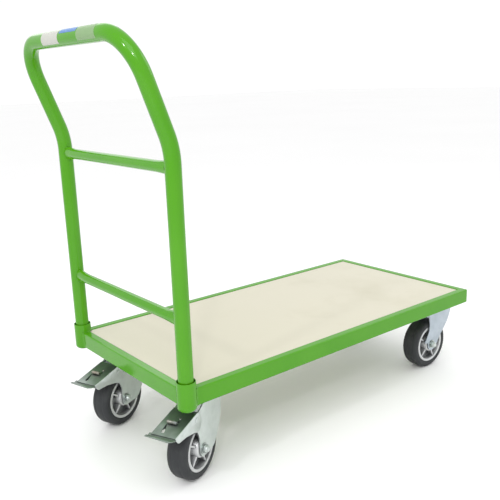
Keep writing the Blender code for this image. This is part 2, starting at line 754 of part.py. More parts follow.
def swivel_caster(side, sign, cope):
    middle = (DECK_X + SWIVEL_X, sign * SWIVEL_Y, 0)
    heading = SWIVEL_HEADING[side]
    place = f"rear_{side}"
    boolean(caster_pad(f"caster_pad_{place}", middle[0], middle[1]), cope)
    swivel_head(side, Matrix.Translation(middle))
    swivel = add_empty(f"swivel_axis_{side}", middle, heading)
    axle = add_empty(f"axle_{place}", (-SWIVEL_TRAIL, 0, WHEEL_RADIUS), parent=swivel)
    pivot = add_empty(f"pedal_axis_{side}", (PEDAL_PIVOT[0], 0, PEDAL_PIVOT[1]), parent=swivel)
    ball_ring(side, swivel)
    swivel_fork(side, swivel, axle)
    axle_set(place, axle)
    wheel(place, axle)
    pedal(side, pivot)
    pedal_roller(side, pivot)
    brake_shoe(side, pivot)
    pedal_pin(side, swivel)


# ---------------------------------------------------------------- fixed casters


def fixed_leg_outline():
    """The side view of the fixed bracket's leg, from its plate down to the axle."""
    axle = (0, WHEEL_RADIUS)
    front = [
        (0.0785, PLATE_BOTTOM + 0.001),
        (0.0785, 0.160),
        (0.0730, 0.138),
        (0.064, 0.118),
        (0.048, 0.099),
        (0.032, 0.082),
    ]
    foot = arc(axle, FIXED_FOOT_RADIUS, -30, -180, 8)
    rear = [(-0.016, 0.095), (-0.0095, 0.118), (-0.015, 0.150), (-0.023, PLATE_BOTTOM + 0.001)]
    return (front + foot + rear)[::-1]


def fixed_bracket(side, axle):
    """The fixed caster's one-piece pressing: bolt plate and two legs."""
    place = Matrix.Translation((0, 0, -WHEEL_RADIUS))
    outline = round_rectangle(PLATE_LENGTH, PLATE_WIDTH, PLATE_CORNER)
    holes = [arc(spot, BOLT_HOLE_RADIUS, 0, 330, 11) for spot in bolt_places()]
    plate = prism_mesh("plate", [outline, *holes], PLATE_BOTTOM, PLATE_TOP)
    plate.transform(Matrix.Translation((FIXED_PLATE_LEAD, 0, 0)))
    bracket = add_part(f"fixed_bracket_{side}", plate, ZINC_PLATE, axle, place)
    legs = side_prism("legs", fixed_leg_outline(), LEG_OUTER)
    boolean(bracket, add_cutter(f"bracket_legs_{side}", legs, axle, place), "UNION")
    room = box_mesh("room", (-0.06, -LEG_INNER, 0), (0.11, LEG_INNER, PLATE_BOTTOM))
    boolean(bracket, add_cutter(f"bracket_room_{side}", room, axle, place))
    leg_holes(bracket, f"bracket_axle_hole_{side}", axle)


def fixed_caster(side, sign):
    place = f"front_{side}"
    x, y = DECK_X + FIXED_X, sign * FIXED_Y
    caster_pad(f"caster_pad_{place}", x + FIXED_PLATE_LEAD, y, FIXED_PAD_SHIFT)
    axle = add_empty(f"axle_{place}", (x, y, WHEEL_RADIUS))
    fixed_bracket(side, axle)
    axle_set(place, axle)
    wheel(place, axle)


# ---------------------------------------------------------------- the whole cart


def build_cart():
    copes = socket_cutter()
    for (side, sign), cope in zip((("right", -1), ("left", 1)), copes):
        long_rail(side, sign, cope)
        handle_socket(side, sign)
    front_rail()
    rear_rail(copes)
    deck_board(copes)
    bearers()
    handle()
    for (side, sign), cope in zip((("right", -1), ("left", 1)), copes):
        swivel_caster(side, sign, cope)
        fixed_caster(side, sign)


clear_scene()
PARTS = new_collection("platform_cart")
CUTTERS = new_collection("cutters", hidden=True)
build_cart()
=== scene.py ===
"""The looks of a platform cart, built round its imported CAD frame.

Lengths are in metres, +X runs from the handle end to the front and +Z up from the floor.
A caster's pieces are modelled with the wheel heading along +X, and then set on the cart.
"""

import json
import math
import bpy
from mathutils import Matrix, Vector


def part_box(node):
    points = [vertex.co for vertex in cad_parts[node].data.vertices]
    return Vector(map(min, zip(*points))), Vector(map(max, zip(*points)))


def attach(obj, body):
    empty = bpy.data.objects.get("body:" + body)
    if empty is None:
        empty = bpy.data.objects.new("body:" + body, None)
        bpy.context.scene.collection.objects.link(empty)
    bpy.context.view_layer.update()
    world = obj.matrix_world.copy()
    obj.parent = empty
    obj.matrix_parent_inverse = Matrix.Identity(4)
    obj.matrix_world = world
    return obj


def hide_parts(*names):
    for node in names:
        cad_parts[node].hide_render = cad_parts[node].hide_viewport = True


bl_info = {
    "name": "Platform cart",
    "version": (1, 0, 0),
    "blender": (4, 5, 0),
    "location": "3D View > Sidebar > Cart",
    "description": "Builds the detailed pieces and finishes of a platform cart",
    "category": "Object",
}

import bmesh
import bpy
from mathutils import Matrix, Vector

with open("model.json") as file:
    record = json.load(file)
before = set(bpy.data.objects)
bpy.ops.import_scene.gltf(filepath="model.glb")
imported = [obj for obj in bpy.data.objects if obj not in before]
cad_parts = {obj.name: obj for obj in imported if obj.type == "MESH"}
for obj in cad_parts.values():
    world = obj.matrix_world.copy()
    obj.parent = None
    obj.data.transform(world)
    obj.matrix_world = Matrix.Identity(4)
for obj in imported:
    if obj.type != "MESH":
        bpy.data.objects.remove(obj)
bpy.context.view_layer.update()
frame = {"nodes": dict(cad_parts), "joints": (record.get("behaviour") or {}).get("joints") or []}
NODES = frame["nodes"]
JOINTS = {joint["name"]: joint for joint in frame["joints"]}
SIDES = {"right": -1, "left": 1}
UP = Vector((0, 0, 1))
ACROSS = Vector((0, 1, 0))
TOUCHING, NEAR = 1e-6, 1e-5

BOARD_LOW, BOARD_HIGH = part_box("deck_board")
RAIL_LOW, RAIL_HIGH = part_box("rail_right")
SOCKET_LOW, SOCKET_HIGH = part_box("handle_socket_left")
DECK_X = (BOARD_LOW.x + BOARD_HIGH.x) / 2
FRAME_TOP = RAIL_HIGH.z
FRAME_BOTTOM = RAIL_LOW.z
POST_X = (SOCKET_LOW.x + SOCKET_HIGH.x) / 2
POST_Y = (SOCKET_LOW.y + SOCKET_HIGH.y) / 2
POST_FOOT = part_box("handle_loop")[0].z
SOCKET_RADIUS = (SOCKET_HIGH.x - SOCKET_LOW.x) / 2
AXLE_HEIGHT = JOINTS["wheel_roll_front_left"]["pos_m"][2]
CROWN_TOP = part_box("fork_left")[1].z
PLATE_BOTTOM, PLATE_TOP = (corner.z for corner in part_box("top_plate_left"))
CREASE_ANGLE = math.radians(35)

# The casters' axle and its nut, the pedal's rivet, and the bolts of the casters' plates.
AXLE_HOLE, AXLE_HEX = 0.0063, 0.0098
PIN_HOLE = 0.0043
PLATE_HEX = 0.0075
PEDAL_HALF_WIDTH, PEDAL_SHEET = 0.0338, 0.002


# ---- settings


def length_property(name, description, default):
    """A length setting in metres."""
    return bpy.props.FloatProperty(
        name=name, description=description, default=default, unit="LENGTH"
    )


class CartSizes(bpy.types.PropertyGroup):
    post_radius: length_property(
        "Handle tube radius", "Outside radius of the bent handle tube", 0.01685
    )
    bend_height: length_property(
        "Bend height", "Where the posts lean back, above the frame", 0.5
    )
    bend_angle: bpy.props.FloatProperty(
        name="Bend angle",
        description="How far the top of the handle leans back",
        default=math.radians(20.4),
        subtype="ANGLE",
    )
    bend_radius: length_property(
        "Bend radius", "Radius of the lean-back bend at the tube's middle line", 0.17
    )
    slope_length: length_property(
        "Slope length", "From the end of the bend to the top bar's middle line", 0.2
    )
    corner_radius: length_property(
        "Top corner radius", "Radius of the two top corners at the tube's middle line", 0.0885
    )
    brace_radius: length_property(
        "Cross tube radius", "Outside radius of the two cross tubes", 0.012
    )
    brace_lower: length_property(
        "Lower cross tube", "Height of the lower cross tube above the frame", 0.152
    )
    brace_upper: length_property(
        "Upper cross tube", "Height of the upper cross tube above the frame", 0.462
    )
    wheel_radius: length_property("Wheel radius", "Radius over the tread", 0.073)
    tyre_half_width: length_property("Tyre half width", "Half the width of the tyre", 0.0245)
    rim_radius: length_property("Rim radius", "Outside radius of the cast rim", 0.0547)
    spokes: bpy.props.IntProperty(
        name="Spokes",
        description="How many ribs stiffen each face of the rim",
        default=5,
        min=3,
    )
    leg_outer: length_property(
        "Fork half width", "From the middle of a caster to the outside of a leg", 0.0302
    )
    sheet: length_property("Pressed sheet", "Thickness of the casters' pressed steel", 0.003)


def colour_property(name, description, code):
    """A colour setting whose default is an sRGB hex code, held linear as Blender does."""
    return bpy.props.FloatVectorProperty(
        name=name,
        description=description,
        default=linear(code),
        subtype="COLOR",
        size=3,
        min=0,
        max=1,
    )


def linear(code):
    """An sRGB hex code as linear red, green and blue."""
    channels = [int(code[i : i + 2], 16) / 255 for i in (1, 3, 5)]
    return tuple(c / 12.92 if c <= 0.04045 else ((c + 0.055) / 1.055) ** 2.4 for c in channels)


class CartColours(bpy.types.PropertyGroup):
    paint: colour_property("Paint", "Powder coat of the frame and handle", "#468F05")
    paint_thin: colour_property("Paint, thin", "Powder coat where it is thin", "#4D9410")
    board: colour_property("Board", "Melamine face of the load board", "#CCC8B6")
    board_worn: colour_property("Board, worn", "Melamine face where feet and loads rub", "#C2BEAA")
    zinc: colour_property("Zinc", "Bright zinc plate of the swivel forks", "#D1D8D6")
    zinc_cloud: colour_property("Zinc, clouded", "Zinc plate where it is less bright", "#C4CCC9")
    bracket: colour_property("Blue zinc", "Blue zinc plate of the fixed brackets", "#B6BFC8")
    bracket_cloud: colour_property("Blue zinc, clouded", "Blue zinc where it is dull", "#AAB4BC")
    # The green zinc is drawn darker than the forks' zinc: partly the green passivated plate, partly
    # painted shade and dark reflection that the tread gets under the frame.
    pedal: colour_property("Green zinc", "Green-passivated zinc plate of the pedals", "#8A948E")
    pedal_cloud: colour_property("Green zinc, clouded", "Green zinc where it is dull", "#78827B")
    steel: colour_property("Dull steel", "Plain plated steel of pins and rings", "#8C9492")
    roller: colour_property("Roller", "Worn brassy plate of the pedal's roller", "#A59B8B")
    rubber: colour_property("Rubber", "Solid rubber of the tyres", "#2E3032")
    rubber_dusty: colour_property("Rubber, dusty", "Rubber where dust clings", "#3A3C3D")
    casting: colour_property("Casting", "Die-cast aluminium of the rims", "#CFD0D1")
    paper: colour_property("Paper", "Blank paper label", "#B9BAB2")
    blue_film: colour_property("Blue film", "Blank tinted film label", "#4F7CB8")
    # Painted sheen: this greyed green film stands for the broad whitish reflection of the ceiling
    # on the top bar.
    clear_film: colour_property("Grey film", "Blank film label that has greyed", "#7C9C6C")


# ---- modelling by hand


def take(obj):
    """Makes one object the only one selected, and the active one."""
    if bpy.context.object is not None and bpy.context.object.mode != "OBJECT":
        bpy.ops.object.mode_set(mode="OBJECT")
    bpy.ops.object.select_all(action="DESELECT")
    obj.select_set(True)
    bpy.context.view_layer.objects.active = obj


def named(name):
    """Names the primitive that was just added, and leaves it alone selected."""
    obj = bpy.context.object
    obj.name = name
    obj.data.name = name
    take(obj)
    return obj


def edit(obj):
    """Opens one object in edit mode, with all of it selected."""
    take(obj)
    bpy.ops.object.mode_set(mode="EDIT")
    bpy.ops.mesh.select_all(action="SELECT")


def leave():
    """Goes back to object mode."""
    bpy.ops.object.mode_set(mode="OBJECT")


def apply_place():
    """Puts the object's place, turn and scale into its mesh."""
    bpy.ops.object.transform_apply(location=True, rotation=True, scale=True)


def choose(obj, kind, test, within=False):
    """In edit mode, selects only the vertices or edges whose place passes the test. With within
    set, it looks only at those that are selected already."""
    shape = bmesh.from_edit_mesh(obj.data)
    before = {item.index for item in getattr(shape, kind) if item.select}
    bpy.ops.mesh.select_mode(type="VERT" if kind == "verts" else "EDGE")
    bpy.ops.mesh.select_all(action="DESELECT")
    shape = bmesh.from_edit_mesh(obj.data)
    found = 0
    for item in getattr(shape, kind):
        ends = [item] if kind == "verts" else item.verts
        if all(test(end.co) for end in ends) and (item.index in before or not within):
            item.select_set(True)
            found += 1
    if not found:
        raise RuntimeError(f"{obj.name}: no {kind} to work on")
    shape.select_flush_mode()
    bmesh.update_edit_mesh(obj.data)


def extrude(shift):
    """In edit mode, extrudes what is selected."""
    bpy.ops.mesh.extrude_region_move(TRANSFORM_OT_translate={"value": Vector(shift)})


def face_outwards(close=True):
    """In edit mode, turns every face outwards and leaves. With close set, what meets is merged."""
    bpy.ops.mesh.select_all(action="SELECT")
    if close:
        bpy.ops.mesh.remove_doubles(threshold=TOUCHING)
        bpy.ops.mesh.select_all(action="SELECT")
    bpy.ops.mesh.normals_make_consistent(inside=False)
    leave()


def trace(name, points, closed=False):
    """A run of edges drawn point by point from a single vertex. It stays in edit mode. A closed
    one is filled with a face."""
    points = [Vector(point) for point in points]
    bpy.ops.object.select_all(action="DESELECT")
    bpy.ops.mesh.primitive_plane_add(size=0.001, location=points[0])
    obj = named(name)
    apply_place()
    edit(obj)
    bpy.ops.mesh.select_mode(type="VERT")
    bpy.ops.mesh.select_all(action="SELECT")
    bpy.ops.mesh.merge(type="CENTER")
    for here, there in zip(points, points[1:]):
        extrude(there - here)
    bpy.ops.mesh.select_all(action="SELECT")
    if closed:
        bpy.ops.mesh.edge_face_add()
    return obj


def plate(name, points, shift):
    """A flat outline given a thickness, from its face to the face moved by the shift."""
    obj = trace(name, points, closed=True)
    extrude(shift)
    face_outwards(close=False)
    return obj


def turned(name, profile, axis, steps, centre=(0, 0, 0)):
    """A profile of (radius, place along the axis) spun all the way round that axis."""
    centre = Vector(centre)
    out = Vector((1, 0, 0)) if axis == UP else UP
    obj = trace(name, [centre + out * radius + axis * place for radius, place in profile])
    bpy.ops.mesh.spin(
        steps=steps, angle=2 * math.pi, center=centre, axis=axis, use_auto_merge=True
    )
    face_outwards()
    return obj


def mirrored(half):
    """A profile from the half of it on one side of the middle."""
    return half + [(radius, -place) for radius, place in reversed(half)]


def apply_modifier(obj, kind, **settings):
    """Adds a modifier with its settings and applies it."""
    take(obj)
    modifier = obj.modifiers.new(kind.title(), kind)
    for key, value in settings.items():
        setattr(modifier, key, value)
    bpy.ops.object.modifier_apply(modifier=modifier.name)


def soften(obj, width, segments=2, angle=40):
    """Rounds every edge that is sharper than the angle."""
    apply_modifier(
        obj,
        "BEVEL",
        width=width,
        segments=segments,
        limit_method="ANGLE",
        angle_limit=math.radians(angle),
    )


def cut(obj, *cutters, operation="DIFFERENCE"):
    """Cuts each cutter out of the object, or joins or keeps it by another operation."""
    for cutter in cutters:
        apply_modifier(obj, "BOOLEAN", operation=operation, object=cutter, solver="EXACT")
        discard(cutter)


def drill(radius, place, axis=ACROSS, depth=0.1):
    """A round cutter."""
    turn = (0, 0, 0) if axis == UP else (math.pi / 2, 0, 0)
    bpy.ops.object.select_all(action="DESELECT")
    bpy.ops.mesh.primitive_cylinder_add(
        vertices=32, radius=radius, depth=depth, location=place, rotation=turn
    )
    return named("drill")


def smooth(obj, angle=CREASE_ANGLE):
    """Smooths the shading between faces that meet at less than the angle."""
    take(obj)
    bpy.ops.object.shade_smooth_by_angle(angle=angle)
    return obj


def flatten_shading(obj):
    """Lets the broad faces set the shading of the narrow bends between them."""
    smooth(obj)
    apply_modifier(obj, "WEIGHTED_NORMAL", keep_sharp=True, weight=80)
    return obj


def joined(obj, *others):
    """Joins other objects into one."""
    take(obj)
    for other in others:
        other.select_set(True)
    if others:
        bpy.ops.object.join()
    return obj


def merged(obj, *others):
    """Joins the others to the object, merges what meets, and turns every face outwards."""
    edit(joined(obj, *others))
    face_outwards()
    return obj


def panelled(name, *outlines):
    """An open sheet of flat panels that meet along creases."""
    sheets = []
    for outline in outlines:
        sheets.append(trace(name, outline, closed=True))
        leave()
    return merged(*sheets)


def beyond(point, start, end):
    """How far a point of (x, z) lies to the left of the line from start to end."""
    along = (Vector(end) - Vector(start)).normalized()
    offset = Vector(point) - Vector(start)
    return along.x * offset.y - along.y * offset.x


def tube(name, points, radius, resolution):
    """A round tube along a traced run of points."""
    obj = trace(name, points)
    leave()
    bpy.ops.object.convert(target="CURVE")
    obj.data.bevel_depth = radius
    obj.data.bevel_resolution = resolution
    obj.data.use_fill_caps = True
    bpy.ops.object.convert(target="MESH")
    edit(obj)
    face_outwards()
    return obj


def arc(centre, radius, start, end, steps):
    """Points on a circle from one angle to another, in degrees, both ends included."""
    angles = [math.radians(start + (end - start) * i / steps) for i in range(steps + 1)]
    return [(centre[0] + radius * math.cos(a), centre[1] + radius * math.sin(a)) for a in angles]


def settle(obj, place, body, finish, slot, instead=True):
    """Sets a finished piece on the cart: its place goes into its mesh, and it rides on its body.
    It stands for the CAD node that its slot is named for, unless it is an extra piece."""
    take(obj)
    obj.matrix_world = place
    apply_place()
    obj.data.materials.clear()
    obj.data.materials.append(MATERIALS[finish])
    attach(obj, body)
    if instead:
        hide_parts(slot)


def copy_of(obj, name):
    """A copy with its own mesh."""
    made = obj.copy()
    made.data = obj.data.copy()
    made.name = name
    made.data.name = name
    bpy.context.scene.collection.objects.link(made)
    return made


def discard(obj):
    """Removes a model and its mesh once its copies are made."""
    mesh = obj.data
    bpy.data.objects.remove(obj)
    bpy.data.meshes.remove(mesh)


def swivel_place(side):
    """Where a swivel caster's own frame stands: its axis on the floor, turned to its heading."""
    x, y, _ = JOINTS[f"swivel_turn_{side}"]["pos_m"]
    across = JOINTS[f"wheel_roll_rear_{side}"]["axis"]
    heading = math.atan2(-across[0], across[1])
    return Matrix.Translation((x, y, 0)) @ Matrix.Rotation(heading, 4, "Z")


def swivel_point(joint):
    """A right-hand joint's place in a swivel caster's own frame, on the caster's middle plane."""
    place = swivel_place("right").inverted() @ Vector(JOINTS[joint]["pos_m"])
    return Vector((place.x, 0, place.z))


SWIVEL_AXLE = (swivel_point("wheel_roll_rear_right").x, 0, AXLE_HEIGHT)
PEDAL_PIVOT = swivel_point("pedal_press_right")


def fixed_place(side):
    """Where a fixed caster's own frame stands: under its axle, on the floor."""
    x, y, _ = JOINTS[f"wheel_roll_front_{side}"]["pos_m"]
    return Matrix.Translation((x, y, 0))


def wheel_places():
    """For each wheel: its name, the place of its middle on the floor, its body and its frame's."""
    places = []
    for side in SIDES:
        swivel = swivel_place(side)
        axle = Vector(JOINTS[f"wheel_roll_rear_{side}"]["pos_m"])
        reach = (swivel.inverted() @ axle).x
        place = swivel @ Matrix.Translation((reach, 0, 0))
        places.append((f"rear_{side}", place, f"wheel_rear_{side}", f"swivel_{side}"))
        places.append((f"front_{side}", fixed_place(side), f"wheel_front_{side}", "deck"))
    return places


# ---- materials


MATERIALS = {}

# A Mix node's two colours and its result, by their numbers, because its kinds share their names.
FIRST, SECOND, MIXED = 6, 7, 2


def wire(tree, node, settings, links):
    """Settings name a node's inputs or its own options, links name what feeds an input."""
    for key, value in settings.items():
        if isinstance(key, int) or key in node.inputs:
            node.inputs[key].default_value = value
        else:
            setattr(node, key, value)
    for key, source in links.items():
        tree.links.new(source, node.inputs[key])


def add(tree, kind, settings, links, output=0):
    """Adds a node with its settings and links, and gives one of its outputs."""
    node = tree.nodes.new(f"ShaderNode{kind}")
    wire(tree, node, settings, links)
    return node.outputs[output]


def new_material(name):
    """An empty material, with its tree and the object's own coordinates."""
    made = bpy.data.materials.new(name)
    made.use_nodes = True
    tree = made.node_tree
    place = add(tree, "TexCoord", {}, {}, "Object")
    return made, tree, place


def between(first, second):
    """The settings of a mix of two fixed colours."""
    return {"data_type": "RGBA", FIRST: (*first, 1), SECOND: (*second, 1)}


def painted_corner_shade(tree, colour, shade_colour, reach, clean, most):
    """A colour, fixed or from a node, with painted shade near corners: it turns to the shade colour
    within the reach, and up to the most."""
    # Painted shade: ambient occlusion darkens the colour where corners cut off the light.
    corner = add(tree, "AmbientOcclusion", {"Distance": reach, "samples": 8}, {}, "AO")
    fade = {"From Min": 0.35, "From Max": clean, "To Min": most, "To Max": 0.0}
    share = add(tree, "MapRange", fade, {"Value": corner})
    shade_colour = linear(shade_colour)
    if isinstance(colour, bpy.types.NodeSocket):
        return add(tree, "Mix", between(shade_colour, shade_colour), {0: share, FIRST: colour}, MIXED)
    return add(tree, "Mix", between(colour, shade_colour), {0: share}, MIXED)


def surfaced(made, settings, colour, gloss, relief, strength, depth):
    """Feeds the shader its settings, colour and roughness, and the bump that a relief gives."""
    tree = made.node_tree
    bump = add(tree, "Bump", {"Strength": strength, "Distance": depth}, {"Height": relief})
    links = {"Base Color": colour, "Roughness": gloss, "Normal": bump}
    wire(tree, tree.nodes["Principled BSDF"], settings, links)
    return made


def powder_coated_steel(colours):
    """Green polyester powder coat, sprayed dry and baked. It gives an even, glossy skin with a
    faint orange peel that breaks up long highlights, and painted shade in the tight corners."""
    made, tree, place = new_material("powder_coated_steel")
    where = add(tree, "Mapping", {"Location": (-DECK_X, 0, -FRAME_TOP)}, {"Vector": place})
    # Film thickness drifts over some 120 mm, which shifts the green a little.
    drift = add(tree, "TexNoise", {"Scale": 1 / 0.12, "Detail": 3}, {"Vector": where})
    thin = add(tree, "MapRange", {"From Min": 0.35, "From Max": 0.75}, {"Value": drift})
    colour = add(tree, "Mix", between(colours.paint, colours.paint_thin), {0: thin}, MIXED)
    # Painted shade darkens the paint within some 4 mm of a corner or a seam.
    colour = painted_corner_shade(tree, colour, "#1F3A0C", 0.004, 0.75, 0.8)
    gloss = add(tree, "MapRange", {"To Min": 0.1, "To Max": 0.17}, {"Value": drift})
    # Orange peel has cells of about 1 mm. They are drawn at 2.5 mm, so that they show.
    peel = add(tree, "TexNoise", {"Scale": 1 / 0.0025, "Detail": 1}, {"Vector": where})
    settings = {"IOR": 1.5, "Specular IOR Level": 0.36}
    return surfaced(made, settings, colour, gloss, peel, 0.12, 0.0004)


def melamine_board(colours):
    """Cream melamine film pressed on particle board. It gives a flat, satin, slightly mottled
    face, with faint rub marks and a few fine scratches from loads."""
    made, tree, place = new_material("melamine_faced_board")
    where = add(tree, "Mapping", {"Location": (-DECK_X, 0, -BOARD_HIGH.z)}, {"Vector": place})
    # Rubbed patches are some 200 mm across.
    patches = {"Scale": 1 / 0.2, "Detail": 5, "Roughness": 0.6}
    rub = add(tree, "TexNoise", patches, {"Vector": where})
    patch = add(tree, "MapRange", {"From Min": 0.45, "From Max": 0.8}, {"Value": rub})
    # The handle end is walked on and a little darker than the front.
    along = add(tree, "SeparateXYZ", {}, {"Vector": where}, "X")
    to_rear = {"From Min": 0.35, "From Max": -0.5, "To Min": 0.0, "To Max": 0.75}
    rear = add(tree, "MapRange", to_rear, {"Value": along})
    wear = add(tree, "Math", {"operation": "MAXIMUM"}, {0: patch, 1: rear})
    colour = add(tree, "Mix", between(colours.board, colours.board_worn), {0: wear}, MIXED)
    # Scratches are hair lines some 30 mm long, drawn 1 mm wide so that they show.
    slant = {"Rotation": (0, 0, math.radians(28)), "Scale": (1 / 0.06, 1 / 0.004, 1)}
    stretched = add(tree, "Mapping", slant, {"Vector": where})
    lines = add(tree, "TexNoise", {"Scale": 1.0, "Detail": 2}, {"Vector": stretched})
    few = {"From Min": 0.72, "From Max": 0.78, "To Max": 0.35}
    rare = add(tree, "MapRange", few, {"Value": lines})
    scratch = linear("#8F8B7E")
    colour = add(tree, "Mix", between(scratch, scratch), {0: rare, FIRST: colour}, MIXED)
    gloss = add(tree, "MapRange", {"To Min": 0.42, "To Max": 0.6}, {"Value": rub})
    # The press plate leaves a fine grain of about 0.5 mm, drawn at 1.5 mm.
    grain = add(tree, "TexNoise", {"Scale": 1 / 0.0015, "Detail": 2}, {"Vector": where})
    settings = {"IOR": 1.5}
    return surfaced(made, settings, colour, gloss, grain, 0.08, 0.0002)


def zinc_plated_steel(name, bright, cloudy, rough, corner_reach):
    """Electroplated zinc on pressed steel. It gives a bright grey metal whose gloss is clouded in
    patches, with fine drawing lines from the press, and painted shade that darkens its corners."""
    made, tree, place = new_material(name)
    # Clouds in the plate are some 25 mm across.
    cloud = add(tree, "TexNoise", {"Scale": 1 / 0.025, "Detail": 3}, {"Vector": place})
    dull = add(tree, "MapRange", {"From Min": 0.35, "From Max": 0.7}, {"Value": cloud})
    colour = add(tree, "Mix", between(bright, cloudy), {0: dull}, MIXED)
    # Painted shade darkens the corners within the corner reach.
    colour = painted_corner_shade(tree, colour, "#3C4440", corner_reach, 0.85, 0.75)
    gloss = add(tree, "MapRange", {"To Min": rough, "To Max": rough + 0.14}, {"Value": cloud})
    # Drawing lines run up and down the sheet, 1 mm apart.
    stretch = {"Scale": (1 / 0.001, 1 / 0.001, 1 / 0.03)}
    drawn = add(tree, "Mapping", stretch, {"Vector": place})
    lines = add(tree, "TexNoise", {"Scale": 1.0, "Detail": 2}, {"Vector": drawn})
    settings = {"Metallic": 0.85}
    return surfaced(made, settings, colour, gloss, lines, 0.03, 0.0002)


def moulded_rubber(colours):
    """Compression-moulded solid rubber. It gives a matt dark grey with a trace of bloom and dust,
    and the fine grain of the mould."""
    made, tree, place = new_material("moulded_solid_rubber")
    # Bloom comes in patches of some 30 mm.
    bloom = add(tree, "TexNoise", {"Scale": 1 / 0.03, "Detail": 5}, {"Vector": place})
    dusty = add(tree, "MapRange", {"From Min": 0.4, "From Max": 0.75}, {"Value": bloom})
    colour = add(tree, "Mix", between(colours.rubber, colours.rubber_dusty), {0: dusty}, MIXED)
    matt = add(tree, "MapRange", {"To Min": 0.52, "To Max": 0.75}, {"Value": bloom})
    # The mould's grain is 0.4 mm, drawn at 1.2 mm.
    grain = add(tree, "TexNoise", {"Scale": 1 / 0.0012, "Detail": 2}, {"Vector": place})
    settings = {"IOR": 1.52, "Specular IOR Level": 0.3}
    return surfaced(made, settings, colour, matt, grain, 0.2, 0.0003)


def die_cast_aluminium(colours):
    """Die-cast aluminium, left as it comes from the die. It gives a soft light grey metal with a
    fine sandy grain, and painted shade that darkens its corners and the rim's pockets."""
    made, tree, place = new_material("die_cast_aluminium")
    # The skin's gloss changes over some 12 mm.
    cloud = add(tree, "TexNoise", {"Scale": 1 / 0.012, "Detail": 4}, {"Vector": place})
    # Painted shade darkens the rim's pockets and corners within some 22 mm.
    colour = painted_corner_shade(tree, colours.casting, "#5C5E60", 0.022, 0.92, 0.85)
    gloss = add(tree, "MapRange", {"To Min": 0.34, "To Max": 0.52}, {"Value": cloud})
    # The die's grain is 0.5 mm, drawn at 1 mm.
    grain = add(tree, "TexNoise", {"Scale": 1 / 0.001, "Detail": 2}, {"Vector": place})
    settings = {"Metallic": 0.8}
    return surfaced(made, settings, colour, gloss, grain, 0.2, 0.0002)


def blank_label(colour, name):
    """A self-adhesive label with nothing on it. It gives a satin face with faint soft creases."""
    made, tree, place = new_material(name)
    # Creases are some 8 mm apart.
    crease = add(tree, "TexNoise", {"Scale": 1 / 0.008, "Detail": 3}, {"Vector": place})
    faint = {"From Min": 0.4, "From Max": 0.8, "To Max": 0.25}
    share = add(tree, "MapRange", faint, {"Value": crease})
    shaded = between(colour, [channel * 0.75 for channel in colour])
    mixed = add(tree, "Mix", shaded, {0: share}, MIXED)
    bump = add(tree, "Bump", {"Strength": 0.15, "Distance": 0.0003}, {"Height": crease})
    shader = tree.nodes["Principled BSDF"]
    wire(tree, shader, {"Roughness": 0.45}, {"Base Color": mixed, "Normal": bump})
    return made


# ---- frame


class CART_OT_finishes(bpy.types.Operator):
    """Makes the finishes, and gives the carried-over CAD pieces theirs"""

    bl_idname = "cart.finishes"
    bl_label = "Finishes"

    def execute(self, context):
        colours = context.scene.cart_colours
        MATERIALS["paint"] = powder_coated_steel(colours)
        MATERIALS["board"] = melamine_board(colours)
        # The last column is how far each metal's painted corner shade reaches.
        for key, look, bright, cloudy, rough, reach in (
            ("zinc", "", colours.zinc, colours.zinc_cloud, 0.26, 0.006),
            ("bracket", "blue_", colours.bracket, colours.bracket_cloud, 0.3, 0.006),
            ("pedal", "green_", colours.pedal, colours.pedal_cloud, 0.28, 0.009),
            ("dull", "dull_", colours.steel, colours.pedal, 0.36, 0.006),
            ("roller", "brassy_", colours.roller, colours.steel, 0.3, 0.004),
        ):
            name = f"{look}zinc_plated_steel"
            MATERIALS[key] = zinc_plated_steel(name, bright, cloudy, rough, reach)
        MATERIALS["rubber"] = moulded_rubber(colours)
        MATERIALS["casting"] = die_cast_aluminium(colours)
        MATERIALS["paper"] = blank_label(colours.paper, "paper_label")
        MATERIALS["blue_film"] = blank_label(colours.blue_film, "blue_film_label")
        # The greyed film is painted sheen on the top bar.
        MATERIALS["clear_film"] = blank_label(colours.clear_film, "grey_film_label")
        starts = {
            "paint": ("rail_", "bearer_", "caster_pad_"),
            "board": ("deck_board",),
            "dull": ("king_pin_", "ball_ring_", "brake_shoe_", "axle_sleeve_"),
            "zinc": ("",),
        }
        for name, node in NODES.items():
            finish = next(key for key, names in starts.items() if name.startswith(names))
            node.data.materials.clear()
            node.data.materials.append(MATERIALS[finish])
        return {"FINISHED"}


class CART_OT_sockets(bpy.types.Operator):
    """Models the two corner sockets, with a flared mouth and a rounded foot"""

    bl_idname = "cart.sockets"
    bl_label = "Handle sockets"

    def execute(self, context):
        outer = SOCKET_RADIUS
        bore, ledge_bore, ledge = 0.018, 0.012, 0.004
        mouth, foot, lip = 0.0197, 0.009, 0.0006
        high, low = SOCKET_HIGH.z, SOCKET_LOW.z
        profile = (
            [(bore, low + ledge), (ledge_bore, low + ledge), (ledge_bore, low + 0.0002)]
            + arc((outer - foot, low + foot), foot, -84, 0, 8)
            + [(outer, high - 0.0075), (outer - 0.0001, high - 0.006)]
            + arc((outer - lip, high - lip), lip, 0, 90, 3)
            + arc((mouth + lip, high - lip), lip, 90, 180, 3)
            + [(mouth - 0.0004, high - 0.005), (bore, high - 0.012), (bore, low + ledge)]
        )
        for side, sign in SIDES.items():
            obj = turned(f"socket_{side}", profile, UP, 64)
            smooth(obj)
            place = Matrix.Translation((POST_X, sign * POST_Y, 0))
            settle(obj, place, "deck", "paint", f"handle_socket_{side}")
        return {"FINISHED"}


def fillet_outline(face, radius):
    """A hollow weld fillet in plan: along the rail's face, out to the socket's wall. The places
    are from the socket's middle, along the rail and out from it."""
    reach = SOCKET_RADIUS + radius
    along = math.sqrt(reach**2 - (face + radius) ** 2)
    turn = math.degrees(math.atan2(face + radius, along))
    curve = arc((along, face + radius), radius, 270, 180 + turn, 8)
    return [(0.7 * SOCKET_RADIUS, face - 0.001), (along, face - 0.0003)] + curve


